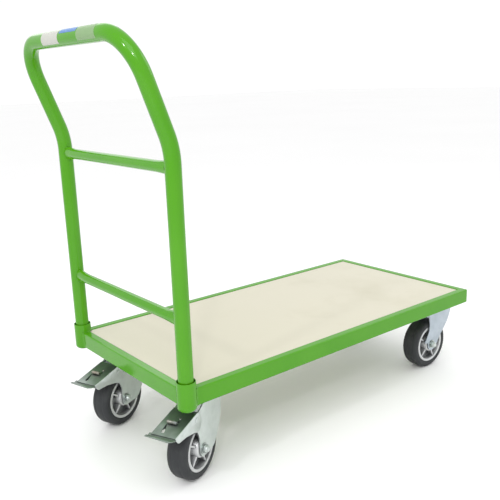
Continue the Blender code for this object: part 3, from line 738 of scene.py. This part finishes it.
class CART_OT_frame_welds(bpy.types.Operator):
    """Lays the weld fillets where the rails meet the sockets, and the bead on the frame's top"""

    bl_idname = "cart.frame_welds"
    bl_label = "Frame welds"

    def execute(self, context):
        face = -RAIL_LOW.y - POST_Y
        low, high = FRAME_BOTTOM + 0.0005, FRAME_TOP - 0.0005
        for side, sign in SIDES.items():
            middle = Vector((POST_X, sign * POST_Y, low))
            for which, along, out in (
                ("side", Vector((1, 0, 0)), Vector((0, sign, 0))),
                ("end", Vector((0, -sign, 0)), Vector((-1, 0, 0))),
            ):
                outline = [middle + along * u + out * v for u, v in fillet_outline(face, 0.009)]
                obj = plate(f"weld_{which}_{side}", outline, (0, 0, high - low))
                smooth(obj)
                settle(obj, Matrix(), "deck", "paint", f"rail_{side}", False)
            lead = math.degrees(math.asin(face / SOCKET_RADIUS))
            ring = arc(middle, SOCKET_RADIUS, sign * lead, -sign * (90 + lead), 24)
            obj = tube(f"weld_top_{side}", [(x, y, FRAME_TOP) for x, y in ring], 0.0018, 4)
            smooth(obj)
            settle(obj, Matrix(), "deck", "paint", f"handle_socket_{side}", False)
        return {"FINISHED"}


# ---- handle


def handle_path(sizes):
    """The handle's middle line, from the foot of the right post to that of the left."""
    angle = sizes.bend_angle
    start = FRAME_TOP + sizes.bend_height - sizes.bend_radius * math.tan(angle / 2)
    path = [Vector((POST_X, -POST_Y, POST_FOOT)), Vector((POST_X, -POST_Y, start))]
    bend_steps, corner_steps = 10, 20
    for step in range(1, bend_steps + 1):
        turn = angle * step / bend_steps
        back = sizes.bend_radius * (1 - math.cos(turn))
        rise = sizes.bend_radius * math.sin(turn)
        path.append(Vector((POST_X - back, -POST_Y, start + rise)))
    base = path[-1].copy()
    slope = Vector((-math.sin(angle), 0, math.cos(angle)))
    straight = sizes.slope_length - sizes.corner_radius
    for step in range(corner_steps + 1):
        turn = math.pi / 2 * step / corner_steps
        rise = straight + sizes.corner_radius * math.sin(turn)
        across = Vector((0, sizes.corner_radius * (1 - math.cos(turn)), 0))
        path.append(base + slope * rise + across)
    return path + [Vector((point.x, -point.y, point.z)) for point in reversed(path)]


class CART_OT_handle(bpy.types.Operator):
    """Models the bent handle tube"""

    bl_idname = "cart.handle"
    bl_label = "Handle tube"

    def execute(self, context):
        sizes = context.scene.cart_sizes
        obj = tube("handle_tube", handle_path(sizes), sizes.post_radius, 12)
        smooth(obj)
        settle(obj, Matrix(), "handle", "paint", "handle_loop")
        return {"FINISHED"}


def cross_tube(name, sizes, right_end, left_end):
    """A tube along Y. Each end grows taller and a little narrower over its last stretch."""
    wall = POST_Y - sizes.post_radius
    end = wall + 0.1 * sizes.post_radius
    stretch, rings = 0.044, 10
    steps = [wall - stretch * i / rings for i in range(rings + 1)]
    half = [(0, end), (sizes.brace_radius, end)] + [(sizes.brace_radius, y) for y in steps]
    obj = turned(name, mirrored(half), ACROSS, 48)
    edit(obj)
    for side, taller in ((-1, right_end), (1, left_end)):
        for y in [end] + steps[:-1]:
            share = min(1.0, (y - (wall - stretch)) / stretch)
            grow = (taller - 1) * share * share * (3 - 2 * share)
            choose(obj, "verts", lambda p: abs(p.y - side * y) < NEAR)
            bpy.ops.transform.resize(
                value=(1 - 0.5 * grow, 1, 1 + grow), center_override=(0, side * y, 0)
            )
    leave()
    return smooth(obj)


class CART_OT_braces(bpy.types.Operator):
    """Models the two cross tubes, whose ends are pressed tall and narrow to meet the posts"""

    bl_idname = "cart.braces"
    bl_label = "Cross tubes"

    def execute(self, context):
        sizes = context.scene.cart_sizes
        for which, height, right_end, left_end in (
            ("lower", sizes.brace_lower, 1.25, 1.36),
            ("upper", sizes.brace_upper, 1.14, 1.3),
        ):
            obj = cross_tube(f"cross_tube_{which}", sizes, right_end, left_end)
            place = Matrix.Translation((POST_X, 0, FRAME_TOP + height))
            settle(obj, place, "handle", "paint", f"handle_brace_{which}")
        return {"FINISHED"}


def wrapped_label(name, centre, radius, low, high, start, end):
    """A thin sheet wrapped on a tube along Y, between two places and two angles in degrees."""
    points = arc((centre.x, centre.z), radius, start, end, 16)
    obj = trace(name, [(x, low, z) for x, z in points])
    extrude((0, high - low, 0))
    face_outwards(close=False)
    return obj


class CART_OT_labels(bpy.types.Operator):
    """Models the blank labels wrapped on the top bar, and a greyed sheet on it that is painted
    sheen
    """

    bl_idname = "cart.labels"
    bl_label = "Labels"

    def execute(self, context):
        sizes = context.scene.cart_sizes
        path = handle_path(sizes)
        middle = path[len(path) // 2]
        radius = sizes.post_radius + 0.00015
        for finish, low, high, start, end in (
            ("paper", 0.012, 0.092, 120, 222),
            ("blue_film", -0.07, 0.006, 112, 152),
            # The last sheet is painted sheen: a greyed green film for the ceiling's reflection on
            # the top bar.
            ("clear_film", -0.15, -0.074, 110, 218),
        ):
            obj = wrapped_label(f"label_{finish}", middle, radius, low, high, start, end)
            apply_modifier(obj, "SOLIDIFY", thickness=0.0001, offset=-1)
            smooth(obj)
            settle(obj, Matrix(), "handle", finish, "handle_loop", False)
        return {"FINISHED"}


# ---- wheels


def tyre_piece(sizes):
    """A solid tyre: flat tread, broad round shoulders, and a bead at the rim."""
    radius, half_width, rim = sizes.wheel_radius, sizes.tyre_half_width, sizes.rim_radius
    flat, drop = 0.0115, 0.01
    shoulder = [
        (radius - drop + drop * z, flat + (half_width - flat) * y)
        for y, z in arc((0, 0), 1, 0, 86, 12)
    ]
    half = (
        [(rim + 0.0003, half_width - 0.003), (rim + 0.0008, half_width - 0.0012)]
        + [(rim + 0.0026, half_width - 0.0003)]
        + shoulder
        + [(radius, flat - 0.0012), (radius - 0.0004, flat - 0.0018), (radius, flat - 0.0024)]
        + [(radius, 0.0)]
    )
    obj = turned("tyre", mirrored(half) + half[:1], ACROSS, 128, (0, 0, AXLE_HEIGHT))
    return smooth(obj)


def rim_piece(sizes):
    """A cast rim: a bright outer ring, deep pockets, thin ribs, and a broad hub."""
    rim, half_width = sizes.rim_radius, sizes.tyre_half_width
    half = [(0.0103, 0.0262), (0.0185, 0.0262), (0.0208, 0.0254), (0.0222, 0.0236)]
    half += [(0.0236, 0.008), (0.025, 0.0056), (0.0448, 0.005), (0.0462, 0.0066)]
    half += [(0.0471, half_width - 0.0028), (0.0477, half_width - 0.0014)]
    half += [(0.0538, half_width - 0.001), (rim, half_width - 0.0018)]
    centre = (0, 0, AXLE_HEIGHT)
    obj = turned("rim", mirrored(half) + half[:1], ACROSS, 96, centre)
    inner, outer, depth, first_rib = 0.0205, 0.0476, half_width - 0.0032, 150
    outline = [(inner, -0.003), (outer, -0.0019), (outer, 0.0019), (inner, 0.003)]
    ribs = []
    for number in range(sizes.spokes):
        rib = plate("rib", [(x, -depth, AXLE_HEIGHT + z) for x, z in outline], (0, 2 * depth, 0))
        soften(rib, 0.001)
        edit(rib)
        turn = math.radians(first_rib + 360 * number / sizes.spokes)
        # With no window, a rotation about Y runs from +X towards +Z, as the rib's angle does.
        bpy.ops.transform.rotate(value=turn, orient_axis="Y", center_override=centre)
        leave()
        ribs.append(rib)
    cut(obj, *ribs, operation="UNION")
    return smooth(obj)


class CART_OT_wheels(bpy.types.Operator):
    """Models one wheel, tyre and rim, and sets it on the four axles"""

    bl_idname = "cart.wheels"
    bl_label = "Wheels"

    def execute(self, context):
        sizes = context.scene.cart_sizes
        models = {"tyre": tyre_piece(sizes), "rim": rim_piece(sizes)}
        finishes = {"tyre": "rubber", "rim": "casting"}
        for name, place, body, _ in wheel_places():
            for which, model in models.items():
                obj = copy_of(model, f"{which}_piece_{name}")
                settle(obj, place, body, finishes[which], f"{which}_{name}")
        for model in models.values():
            discard(model)
        return {"FINISHED"}


def lock_nut(sizes):
    """A hex lock nut with its collar and a washer, outside the right leg."""
    seat = -sizes.leg_outer - 0.0003
    face, end = seat - 0.0078, seat - 0.0104
    centre = (0, 0, AXLE_HEIGHT)
    ring = arc((0, AXLE_HEIGHT), AXLE_HEX, 0, 300, 5)
    nut = plate("lock_nut", [(x, seat - 0.0012, z) for x, z in ring], (0, -0.0068, 0))
    soften(nut, 0.0006)
    dome = [(0.0, face), (0.0078, face), (0.0072, end + 0.0006), (0.0062, end), (0.0, end)]
    collar = turned("collar", dome, ACROSS, 32, centre)
    disc = [(0.0, seat), (0.0122, seat), (0.0122, seat - 0.0012), (0.0, seat - 0.0012)]
    washer = turned("washer", disc, ACROSS, 40, centre)
    joined(nut, collar, washer)
    return smooth(nut)


def axle_bolt(sizes):
    """The bolt: a shank through the wheel, a threaded end past the nut, a head at the left."""
    seat = sizes.leg_outer + 0.0003
    rod = [(0.0, -seat - 0.0125), (0.0048, -seat - 0.0125), (0.0056, -seat - 0.0115)]
    rod += [(0.0056, seat), (0.0, seat)]
    shank = turned("axle_bolt", rod, ACROSS, 32, (0, 0, AXLE_HEIGHT))
    ring = arc((0, AXLE_HEIGHT), AXLE_HEX, 30, 330, 5)
    head = plate("head", [(x, seat, z) for x, z in ring], (0, 0.0062, 0))
    soften(head, 0.0007)
    joined(shank, head)
    return smooth(shank)


class CART_OT_axles(bpy.types.Operator):
    """Models the axle bolt and its lock nut, and sets them on the four casters"""

    bl_idname = "cart.axles"
    bl_label = "Axles"

    def execute(self, context):
        sizes = context.scene.cart_sizes
        models = {"nut": lock_nut(sizes), "bolt": axle_bolt(sizes)}
        for name, place, _, body in wheel_places():
            for which, model in models.items():
                obj = copy_of(model, f"axle_{which}_piece_{name}")
                settle(obj, place, body, "zinc", f"axle_{which}_{name}")
        for model in models.values():
            discard(model)
        return {"FINISHED"}


# ---- casters


# The fork leg's outline as (x, z): from its crease's top round the front edge to the crease's
# bottom, and from there round the foot and up the rear edge.
FORK_FRONT = [(-0.04, CROWN_TOP), (0.042, CROWN_TOP), (0.0445, 0.172), (0.0455, 0.15)]
FORK_FRONT += [(0.044, 0.122), (0.035, 0.104), (0.0205, 0.088), (0.0077, 0.0707)]
FORK_FRONT += [(-0.0019, 0.0615), (-0.0083, 0.0588)]
FORK_REAR = [(-0.0139, 0.0565), (-0.025, 0.0556), (-0.0366, 0.055), (-0.05, 0.0541)]
FORK_REAR += [(-0.0559, 0.0552), (-0.0602, 0.0585), (-0.0626, 0.064), (-0.0637, 0.0728)]
FORK_REAR += [(-0.0648, 0.0887), (-0.0654, 0.1038), (-0.069, 0.115), (-0.0734, 0.1234)]
FORK_REAR += [(-0.0785, 0.13), (-0.086, 0.14), (-0.088, 0.15), (-0.085, 0.16)]
FORK_REAR += [(-0.077, 0.165), (-0.064, 0.168), (-0.052, 0.1735)]


def swivel_fork(sizes):
    """The pressed swivel fork: crown and legs of one sheet. Each leg's front half leans inwards
    from a soft crease, and its front edge is turned in."""
    leg_y, lean, flange = sizes.leg_outer, 0.075, 0.009
    top, bottom = FORK_FRONT[0], FORK_FRONT[-1]

    def place(point):
        return (point[0], lean * max(0.0, beyond(point, top, bottom)) - leg_y, point[1])

    def on_crown(point):
        return point.z > CROWN_TOP - NEAR

    def on_fold(point):
        front_x, turned_in_above = 0.0255, 0.095
        return on_crown(point) or (point.x > front_x and point.z > turned_in_above)

    obj = panelled(
        "fork",
        [place(point) for point in FORK_FRONT],
        [place(point) for point in [bottom] + FORK_REAR + [top]],
    )
    soften(obj, 0.006, 4, 2.5)
    edit(obj)
    choose(obj, "edges", on_fold)
    extrude((0, flange, 0))
    choose(obj, "edges", on_crown, within=True)
    extrude((0, 0, 0))
    bpy.ops.transform.resize(value=(1, 0, 1), center_override=(0, 0, 0))
    leave()
    apply_modifier(
        obj, "MIRROR", use_axis=(False, True, False), use_clip=True, merge_threshold=NEAR
    )
    merged(obj)
    soften(obj, 0.005, 4, 50)
    apply_modifier(obj, "SOLIDIFY", thickness=sizes.sheet, offset=-1, use_even_offset=True)
    king_hole = drill(AXLE_HOLE, (0, 0, CROWN_TOP), UP, 0.05)
    cut(obj, drill(AXLE_HOLE, SWIVEL_AXLE), drill(PIN_HOLE, PEDAL_PIVOT), king_hole)
    soften(obj, 0.0005, 2, 55)
    return flatten_shading(obj)


class CART_OT_swivel_forks(bpy.types.Operator):
    """Models the swivel fork and sets it on both swivel axes"""

    bl_idname = "cart.swivel_forks"
    bl_label = "Swivel forks"

    def execute(self, context):
        model = swivel_fork(context.scene.cart_sizes)
        for side in SIDES:
            obj = copy_of(model, f"fork_piece_{side}")
            settle(obj, swivel_place(side), f"swivel_{side}", "zinc", f"fork_{side}")
        discard(model)
        return {"FINISHED"}


def pedal_top(s):
    """The height of the pedal's tread plate at a place along the caster."""
    height, start, slope = 0.1525, -0.158, 0.194
    return height + (s - start) * slope


def pedal_walls(y):
    """A side wall's outline: up the front, along the top edge, down to the pivot."""
    rise = 0.0028
    outline = [(-0.1628, 0.1541), (-0.159, 0.146), (-0.1545, 0.1405), (-0.1502, 0.1384)]
    outline += [(-0.1223, 0.1376), (-0.0924, 0.1319), (-0.0791, 0.127), (-0.0715, 0.1268)]
    outline += [(-0.064, 0.133), (-0.06, 0.144), (-0.06, 0.156), (-0.064, 0.166)]
    outline += [(s, pedal_top(s) + rise) for s in (-0.074, -0.09, -0.14, -0.157)]
    return [(x, y, z) for x, z in outline]


def window(name, corners):
    """A cutter that stands upright through the tread plate."""
    return plate(name, [(x, y, 0.12) for x, y in corners], (0, 0, 0.08))


def pedal_piece():
    """The brake pedal: a tread plate rounded down into its left wall, with its toe plate. The
    right wall stands a little above it and is a piece of its own."""
    half, sheet, bend, skirt = PEDAL_HALF_WIDTH, PEDAL_SHEET, 0.0075, 0.034
    front, back = -0.16, -0.064
    section = [(half, -skirt), (half, -bend)] + arc((half - bend, -bend), bend, 0, 90, 6)[1:]
    section.append((-half + sheet - 0.0001, 0.0))
    start = pedal_top(front)
    tread = trace("brake_pedal", [(front, y, start + z) for y, z in section])
    extrude((back - front, 0, pedal_top(back) - start))
    edit(merged(tread))
    shape = bmesh.from_edit_mesh(tread.data)
    upper = max(shape.faces, key=lambda face: face.calc_center_median().z - abs(face.normal.x))
    if upper.normal.z < 0:
        bpy.ops.mesh.flip_normals()
    leave()
    apply_modifier(tread, "SOLIDIFY", thickness=sheet, offset=-1, use_even_offset=True)
    keep = plate("keep", pedal_walls(-half - sheet), (0, 2 * (half + sheet), 0))
    cut(tread, keep, operation="INTERSECT")
    ends = ((-0.15, 0.0033), (-0.1227, 0.0127), (-0.1227, 0.0151), (-0.15, 0.0116))
    slot = window("slot", ends)
    x0, x1, y0, y1 = -0.1135, -0.1078, -0.0118, -0.0062
    cut(tread, slot, window("hole", ((x0, y0), (x1, y0), (x1, y1), (x0, y1))))
    cut(tread, toe_plate(half), operation="UNION")
    cut(tread, drill(PIN_HOLE, PEDAL_PIVOT))
    return smooth(tread)


def pedal_edge():
    """The pedal's right wall, in the bright zinc as a painted lit copy of the tread's sheet, whose
    darker green zinc stands for its shade.
    """
    wall = plate("pedal_edge", pedal_walls(-PEDAL_HALF_WIDTH), (0, PEDAL_SHEET, 0))
    soften(wall, 0.0006)
    cut(wall, drill(PIN_HOLE, PEDAL_PIVOT))
    return smooth(wall)


def toe_plate(half):
    """The toe plate, with a dip between it and the tread, and its right corner cut off."""
    side = [(-0.156, pedal_top(-0.156) - 0.0008), (-0.162, 0.1502), (-0.166, 0.1506)]
    side += [(-0.169, 0.1536), (-0.183, 0.1547), (-0.183, 0.153), (-0.1682, 0.1516)]
    side += [(-0.1655, 0.1488), (-0.161, 0.1486), (-0.156, 0.15)]
    toe = plate("toe", [(x, -half, z) for x, z in side], (0, 2 * half + 0.0015, 0))
    back, right, left = -0.15, -0.033, 0.0353
    plan = [(-0.175, left), (-0.1808, -0.0246), (-0.174, right), (back, right), (back, left)]
    cut(toe, plate("plan", [(x, y, 0.13) for x, y in plan], (0, 0, 0.05)), operation="INTERSECT")
    soften(toe, 0.0005)
    return toe


def roller_piece():
    """The small round bar across the tread plate, with turned-down ends, and the rivet by it."""
    s, middle, radius, half_length = -0.12, 0.0017, 0.004, 0.0121
    height = pedal_top(s) + radius + 0.0004
    half = [(0.0, half_length), (radius - 0.0009, half_length), (radius, half_length - 0.0008)]
    half += [(radius, 0.003), (radius - 0.0002, 0.0025), (radius - 0.0002, 0.0)]
    obj = turned("roller", mirrored(half), ACROSS, 32, (s, middle, height))
    top = pedal_top(-0.101)
    dome = [(0.0, top - 0.001), (0.003, top - 0.001), (0.003, top + 0.0008)]
    dome += [(0.0021, top + 0.0018), (0.0, top + 0.0022)]
    merged(obj, turned("rivet", dome, UP, 24, (-0.101, -0.007, 0)))
    return smooth(obj)


def pivot_pin():
    """The rivet that the pedal turns on, with a domed head at each side."""
    seat = PEDAL_HALF_WIDTH + 0.0003
    half = [(0.0, seat + 0.0012), (0.0036, seat + 0.0011), (0.0052, seat + 0.0007), (0.0058, seat)]
    half += [(0.0039, seat)]
    obj = turned("pivot_pin", mirrored(half), ACROSS, 32, PEDAL_PIVOT)
    smooth(obj, math.radians(50))
    return obj


class CART_OT_pedals(bpy.types.Operator):
    """Models the brake pedal, its roller and its pivot pin, and sets them on both swivel casters"""

    bl_idname = "cart.pedals"
    bl_label = "Brake pedals"

    def execute(self, context):
        models = (
            (pedal_piece(), "brake_pedal", "pedal", "pedal"),
            # Painted light: the right wall takes the bright zinc as the lit side of the pedal's
            # sheet, and the tread the darker green zinc as its shaded side.
            (pedal_edge(), "pedal_edge", "pedal", "zinc"),
            (roller_piece(), "pedal_roller", "pedal", "roller"),
            (pivot_pin(), "pedal_pin", "swivel", "zinc"),
        )
        for side in SIDES:
            for model, which, body, finish in models:
                obj = copy_of(model, f"{which}_piece_{side}")
                extra = which == "pedal_edge"
                slot = f"brake_pedal_{side}" if extra else f"{which}_{side}"
                settle(obj, swivel_place(side), f"{body}_{side}", finish, slot, not extra)
        for model, *_ in models:
            discard(model)
        return {"FINISHED"}


def bracket_leg(leg_y):
    """The fixed bracket's leg, of four panels: the foot, the upright half that spreads towards the
    plate, the rear half that is folded back from it, and the small web between them."""
    spread, lean = 0.105, 0.16
    top = PLATE_BOTTOM + 0.001
    heel, toe = (-0.016, 0.089), (0.0455, 0.1)
    crest, knee, rear_knee = (0.0345, top), (0.0236, 0.115), (-0.0095, 0.118)

    def foot(point):
        return (point[0], -leg_y, point[1])

    def upright(point):
        return (point[0], -leg_y - spread * beyond(point, heel, toe), point[1])

    def folded(point):
        x, y, z = upright(point)
        return (x, y + lean * beyond(point, knee, crest), z)

    front_edge = [(0.0775, 0.162), (0.0695, 0.135), (0.057, 0.115)]
    foot_edge = [(0.031, 0.081), (0.021, 0.067), (0.013, 0.059), (0.004, 0.0552)]
    foot_edge += [(-0.006, 0.0556), (-0.014, 0.061), (-0.0182, 0.07), (-0.0185, 0.08)]
    rear_edge = [(-0.0105, 0.138), (-0.0165, 0.162), (-0.023, top)]
    return panelled(
        "leg",
        [foot(point) for point in [heel, toe] + foot_edge],
        [upright(point) for point in [knee, crest, (0.0785, top)] + front_edge + [toe, heel]],
        [upright(knee), folded(rear_knee), upright(heel)],
        [folded(point) for point in [crest, knee, rear_knee] + rear_edge],
    )


def fixed_bracket(sizes):
    """The fixed caster's pressing: a bolt plate with two creased legs."""
    leg = bracket_leg(sizes.leg_outer - sizes.sheet / 2)
    soften(leg, 0.0035, 3, 2.5)
    apply_modifier(leg, "SOLIDIFY", thickness=sizes.sheet, offset=0, use_even_offset=True)
    apply_modifier(leg, "MIRROR", use_axis=(False, True, False), use_mirror_merge=False)
    merged(leg)
    low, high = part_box("fixed_bracket_right")
    length, corner = 0.105, 0.008
    middle = low.x - fixed_place("right").translation.x + length / 2
    thickness = PLATE_TOP - PLATE_BOTTOM
    bpy.ops.object.select_all(action="DESELECT")
    bpy.ops.mesh.primitive_cube_add(
        size=1,
        location=(middle, 0, PLATE_BOTTOM + thickness / 2),
        scale=(length, high.y - low.y, thickness),
    )
    obj = named("fixed_bracket")
    apply_place()
    edit(obj)
    bpy.ops.mesh.select_mode(type="EDGE")
    bpy.ops.mesh.select_all(action="DESELECT")
    shape = bmesh.from_edit_mesh(obj.data)
    for edge in shape.edges:
        along = edge.verts[0].co - edge.verts[1].co
        edge.select_set(abs(along.z) > 0.9 * along.length)
    bmesh.update_edit_mesh(obj.data)
    bpy.ops.mesh.bevel(offset=corner, segments=5, affect="EDGES")
    leave()
    soften(obj, 0.0006)
    cut(obj, leg, operation="UNION")
    cut(obj, drill(AXLE_HOLE, (0, 0, AXLE_HEIGHT)))
    soften(obj, 0.0004, 1, 60)
    return flatten_shading(obj)


class CART_OT_fixed_brackets(bpy.types.Operator):
    """Models the fixed caster's bracket and sets it under both front corners"""

    bl_idname = "cart.fixed_brackets"
    bl_label = "Fixed brackets"

    def execute(self, context):
        model = fixed_bracket(context.scene.cart_sizes)
        for side in SIDES:
            obj = copy_of(model, f"bracket_piece_{side}")
            settle(obj, fixed_place(side), "deck", "bracket", f"fixed_bracket_{side}")
        discard(model)
        return {"FINISHED"}


def plate_bolt():
    """A bolt with its head and washer under the plate, and its nut over the pad."""
    seat, nut_seat, end = PLATE_BOTTOM - 0.0001, FRAME_BOTTOM + 0.0002, FRAME_BOTTOM + 0.011
    ring = arc((0, 0), PLATE_HEX, 0, 300, 5)
    head = plate("plate_bolt", [(x, y, seat) for x, y in ring], (0, 0, -0.0053))
    soften(head, 0.0005)
    disc = [(0.0, seat), (0.0088, seat), (0.0088, seat - 0.0012), (0.0, seat - 0.0012)]
    washer = turned("washer", disc, UP, 32)
    foot = seat - 0.0009
    rod = [(0.0, foot), (0.004, foot), (0.004, end - 0.001), (0.0034, end), (0.0, end)]
    shank = turned("shank", rod, UP, 24)
    nut = plate("nut", [(x, y, nut_seat) for x, y in ring], (0, 0, 0.0065))
    soften(nut, 0.0005)
    joined(head, washer, shank, nut)
    return smooth(head)


class CART_OT_plate_bolts(bpy.types.Operator):
    """Models the bolts that hold the casters' plates, with their heads below and nuts above"""

    bl_idname = "cart.plate_bolts"
    bl_label = "Plate bolts"

    def execute(self, context):
        model = plate_bolt()
        reach_x, reach_y = 0.04, 0.03
        for side in SIDES:
            for end, node in (("rear", f"top_plate_{side}"), ("front", f"fixed_bracket_{side}")):
                low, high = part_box(node)
                x, y = (low.x + high.x) / 2, (low.y + high.y) / 2
                for number, (dx, dy) in enumerate(((1, 1), (-1, 1), (-1, -1), (1, -1)), 1):
                    obj = copy_of(model, f"plate_bolt_{end}_{side}_{number}")
                    spot = Matrix.Translation((x + dx * reach_x, y + dy * reach_y, 0))
                    settle(obj, spot, "deck", "zinc", node, False)
        discard(model)
        return {"FINISHED"}


# ---- stage


class CART_OT_stage(bpy.types.Operator):
    """Sets the floor, the soft lights and the camera"""

    bl_idname = "cart.stage"
    bl_label = "Stage"

    def execute(self, context):
        self.floor()
        self.lights(context)
        self.camera(context)
        return {"FINISHED"}

    def floor(self):
        bpy.ops.object.select_all(action="DESELECT")
        bpy.ops.mesh.primitive_plane_add(size=60, location=(0, 0, -0.0005))
        floor = named("floor")
        made, tree, place = new_material("pale_floor")
        # The paper's tone drifts over some 2 m.
        tone = add(tree, "TexNoise", {"Scale": 1 / 2}, {"Vector": place})
        pale = between(linear("#FAFAFA"), linear("#F6F6F6"))
        colour = add(tree, "Mix", pale, {0: tone}, MIXED)
        wire(tree, tree.nodes["Principled BSDF"], {"Roughness": 0.9}, {"Base Color": colour})
        floor.data.materials.append(made)

    def lights(self, context):
        world = bpy.data.worlds.new("pale_room")
        context.scene.world = world
        world.use_nodes = True
        back = world.node_tree.nodes["Background"]
        back.inputs["Color"].default_value = (1, 1, 1, 1)
        back.inputs["Strength"].default_value = 1.04
        context.scene.view_settings.view_transform = "Standard"
        bend = (POST_X - 0.02, -POST_Y, FRAME_TOP + context.scene.cart_sizes.bend_height + 0.18)
        for name, place, aim, size, power in (
            ("key_softbox", (-1.6, -1.6, 2.6), (0, 0, 0.4), 1.8, 20),
            ("front_softbox", (2.4, -0.8, 2.2), (0.2, 0, 0.3), 1.6, 12),
            ("rear_softbox", (0.5, 2.6, 2.4), (0, 0, 0.4), 1.8, 10),
            ("rim_strip_low", (-2.7, -0.7, 2.1), bend, 0.18, 11),
            ("rim_strip_high", (-1.95, -1.95, 2.05), bend, 0.2, 11),
        ):
            bpy.ops.object.light_add(type="AREA", location=place)
            light = named(name)
            light.data.shape = "SQUARE"
            light.data.size = size
            light.data.energy = power
            light.rotation_mode = "QUATERNION"
            direction = Vector(aim) - Vector(place)
            light.rotation_quaternion = direction.to_track_quat("-Z", "Y")

    def camera(self, context):
        # The view over the right rear corner, with the camera a little rolled, as hand held.
        place = Vector((DECK_X - 1.2011, -1.3531, FRAME_TOP + 0.6273))
        bpy.ops.object.camera_add(
            location=place,
            rotation=(math.radians(75.8128), math.radians(1.8275), math.radians(-39.207)),
        )
        camera = named("camera")
        camera.data.sensor_width = 36
        camera.data.lens = 49.312
        context.scene.camera = camera


# ---- add-on


OPERATORS = (
    CART_OT_finishes,
    CART_OT_sockets,
    CART_OT_frame_welds,
    CART_OT_handle,
    CART_OT_braces,
    CART_OT_labels,
    CART_OT_wheels,
    CART_OT_axles,
    CART_OT_swivel_forks,
    CART_OT_pedals,
    CART_OT_fixed_brackets,
    CART_OT_plate_bolts,
    CART_OT_stage,
)


class CART_PT_panel(bpy.types.Panel):
    """Lists the cart's settings and the operators that build it"""

    bl_idname = "CART_PT_panel"
    bl_label = "Platform cart"
    bl_space_type = "VIEW_3D"
    bl_region_type = "UI"
    bl_category = "Cart"

    def draw(self, context):
        for group in (context.scene.cart_sizes, context.scene.cart_colours):
            box = self.layout.box()
            for name in group.__annotations__:
                box.prop(group, name)
        for operator in OPERATORS:
            self.layout.operator(operator.bl_idname)


CLASSES = (CartSizes, CartColours, *OPERATORS, CART_PT_panel)


def register():
    for made in CLASSES:
        bpy.utils.register_class(made)
    bpy.types.Scene.cart_sizes = bpy.props.PointerProperty(type=CartSizes)
    bpy.types.Scene.cart_colours = bpy.props.PointerProperty(type=CartColours)


def unregister():
    del bpy.types.Scene.cart_colours
    del bpy.types.Scene.cart_sizes
    for made in reversed(CLASSES):
        bpy.utils.unregister_class(made)


def main():
    register()
    for operator in OPERATORS:
        group, name = operator.bl_idname.split(".")
        getattr(getattr(bpy.ops, group), name)()
    bpy.ops.object.select_all(action="DESELECT")


if __name__ == "__main__":
    main()
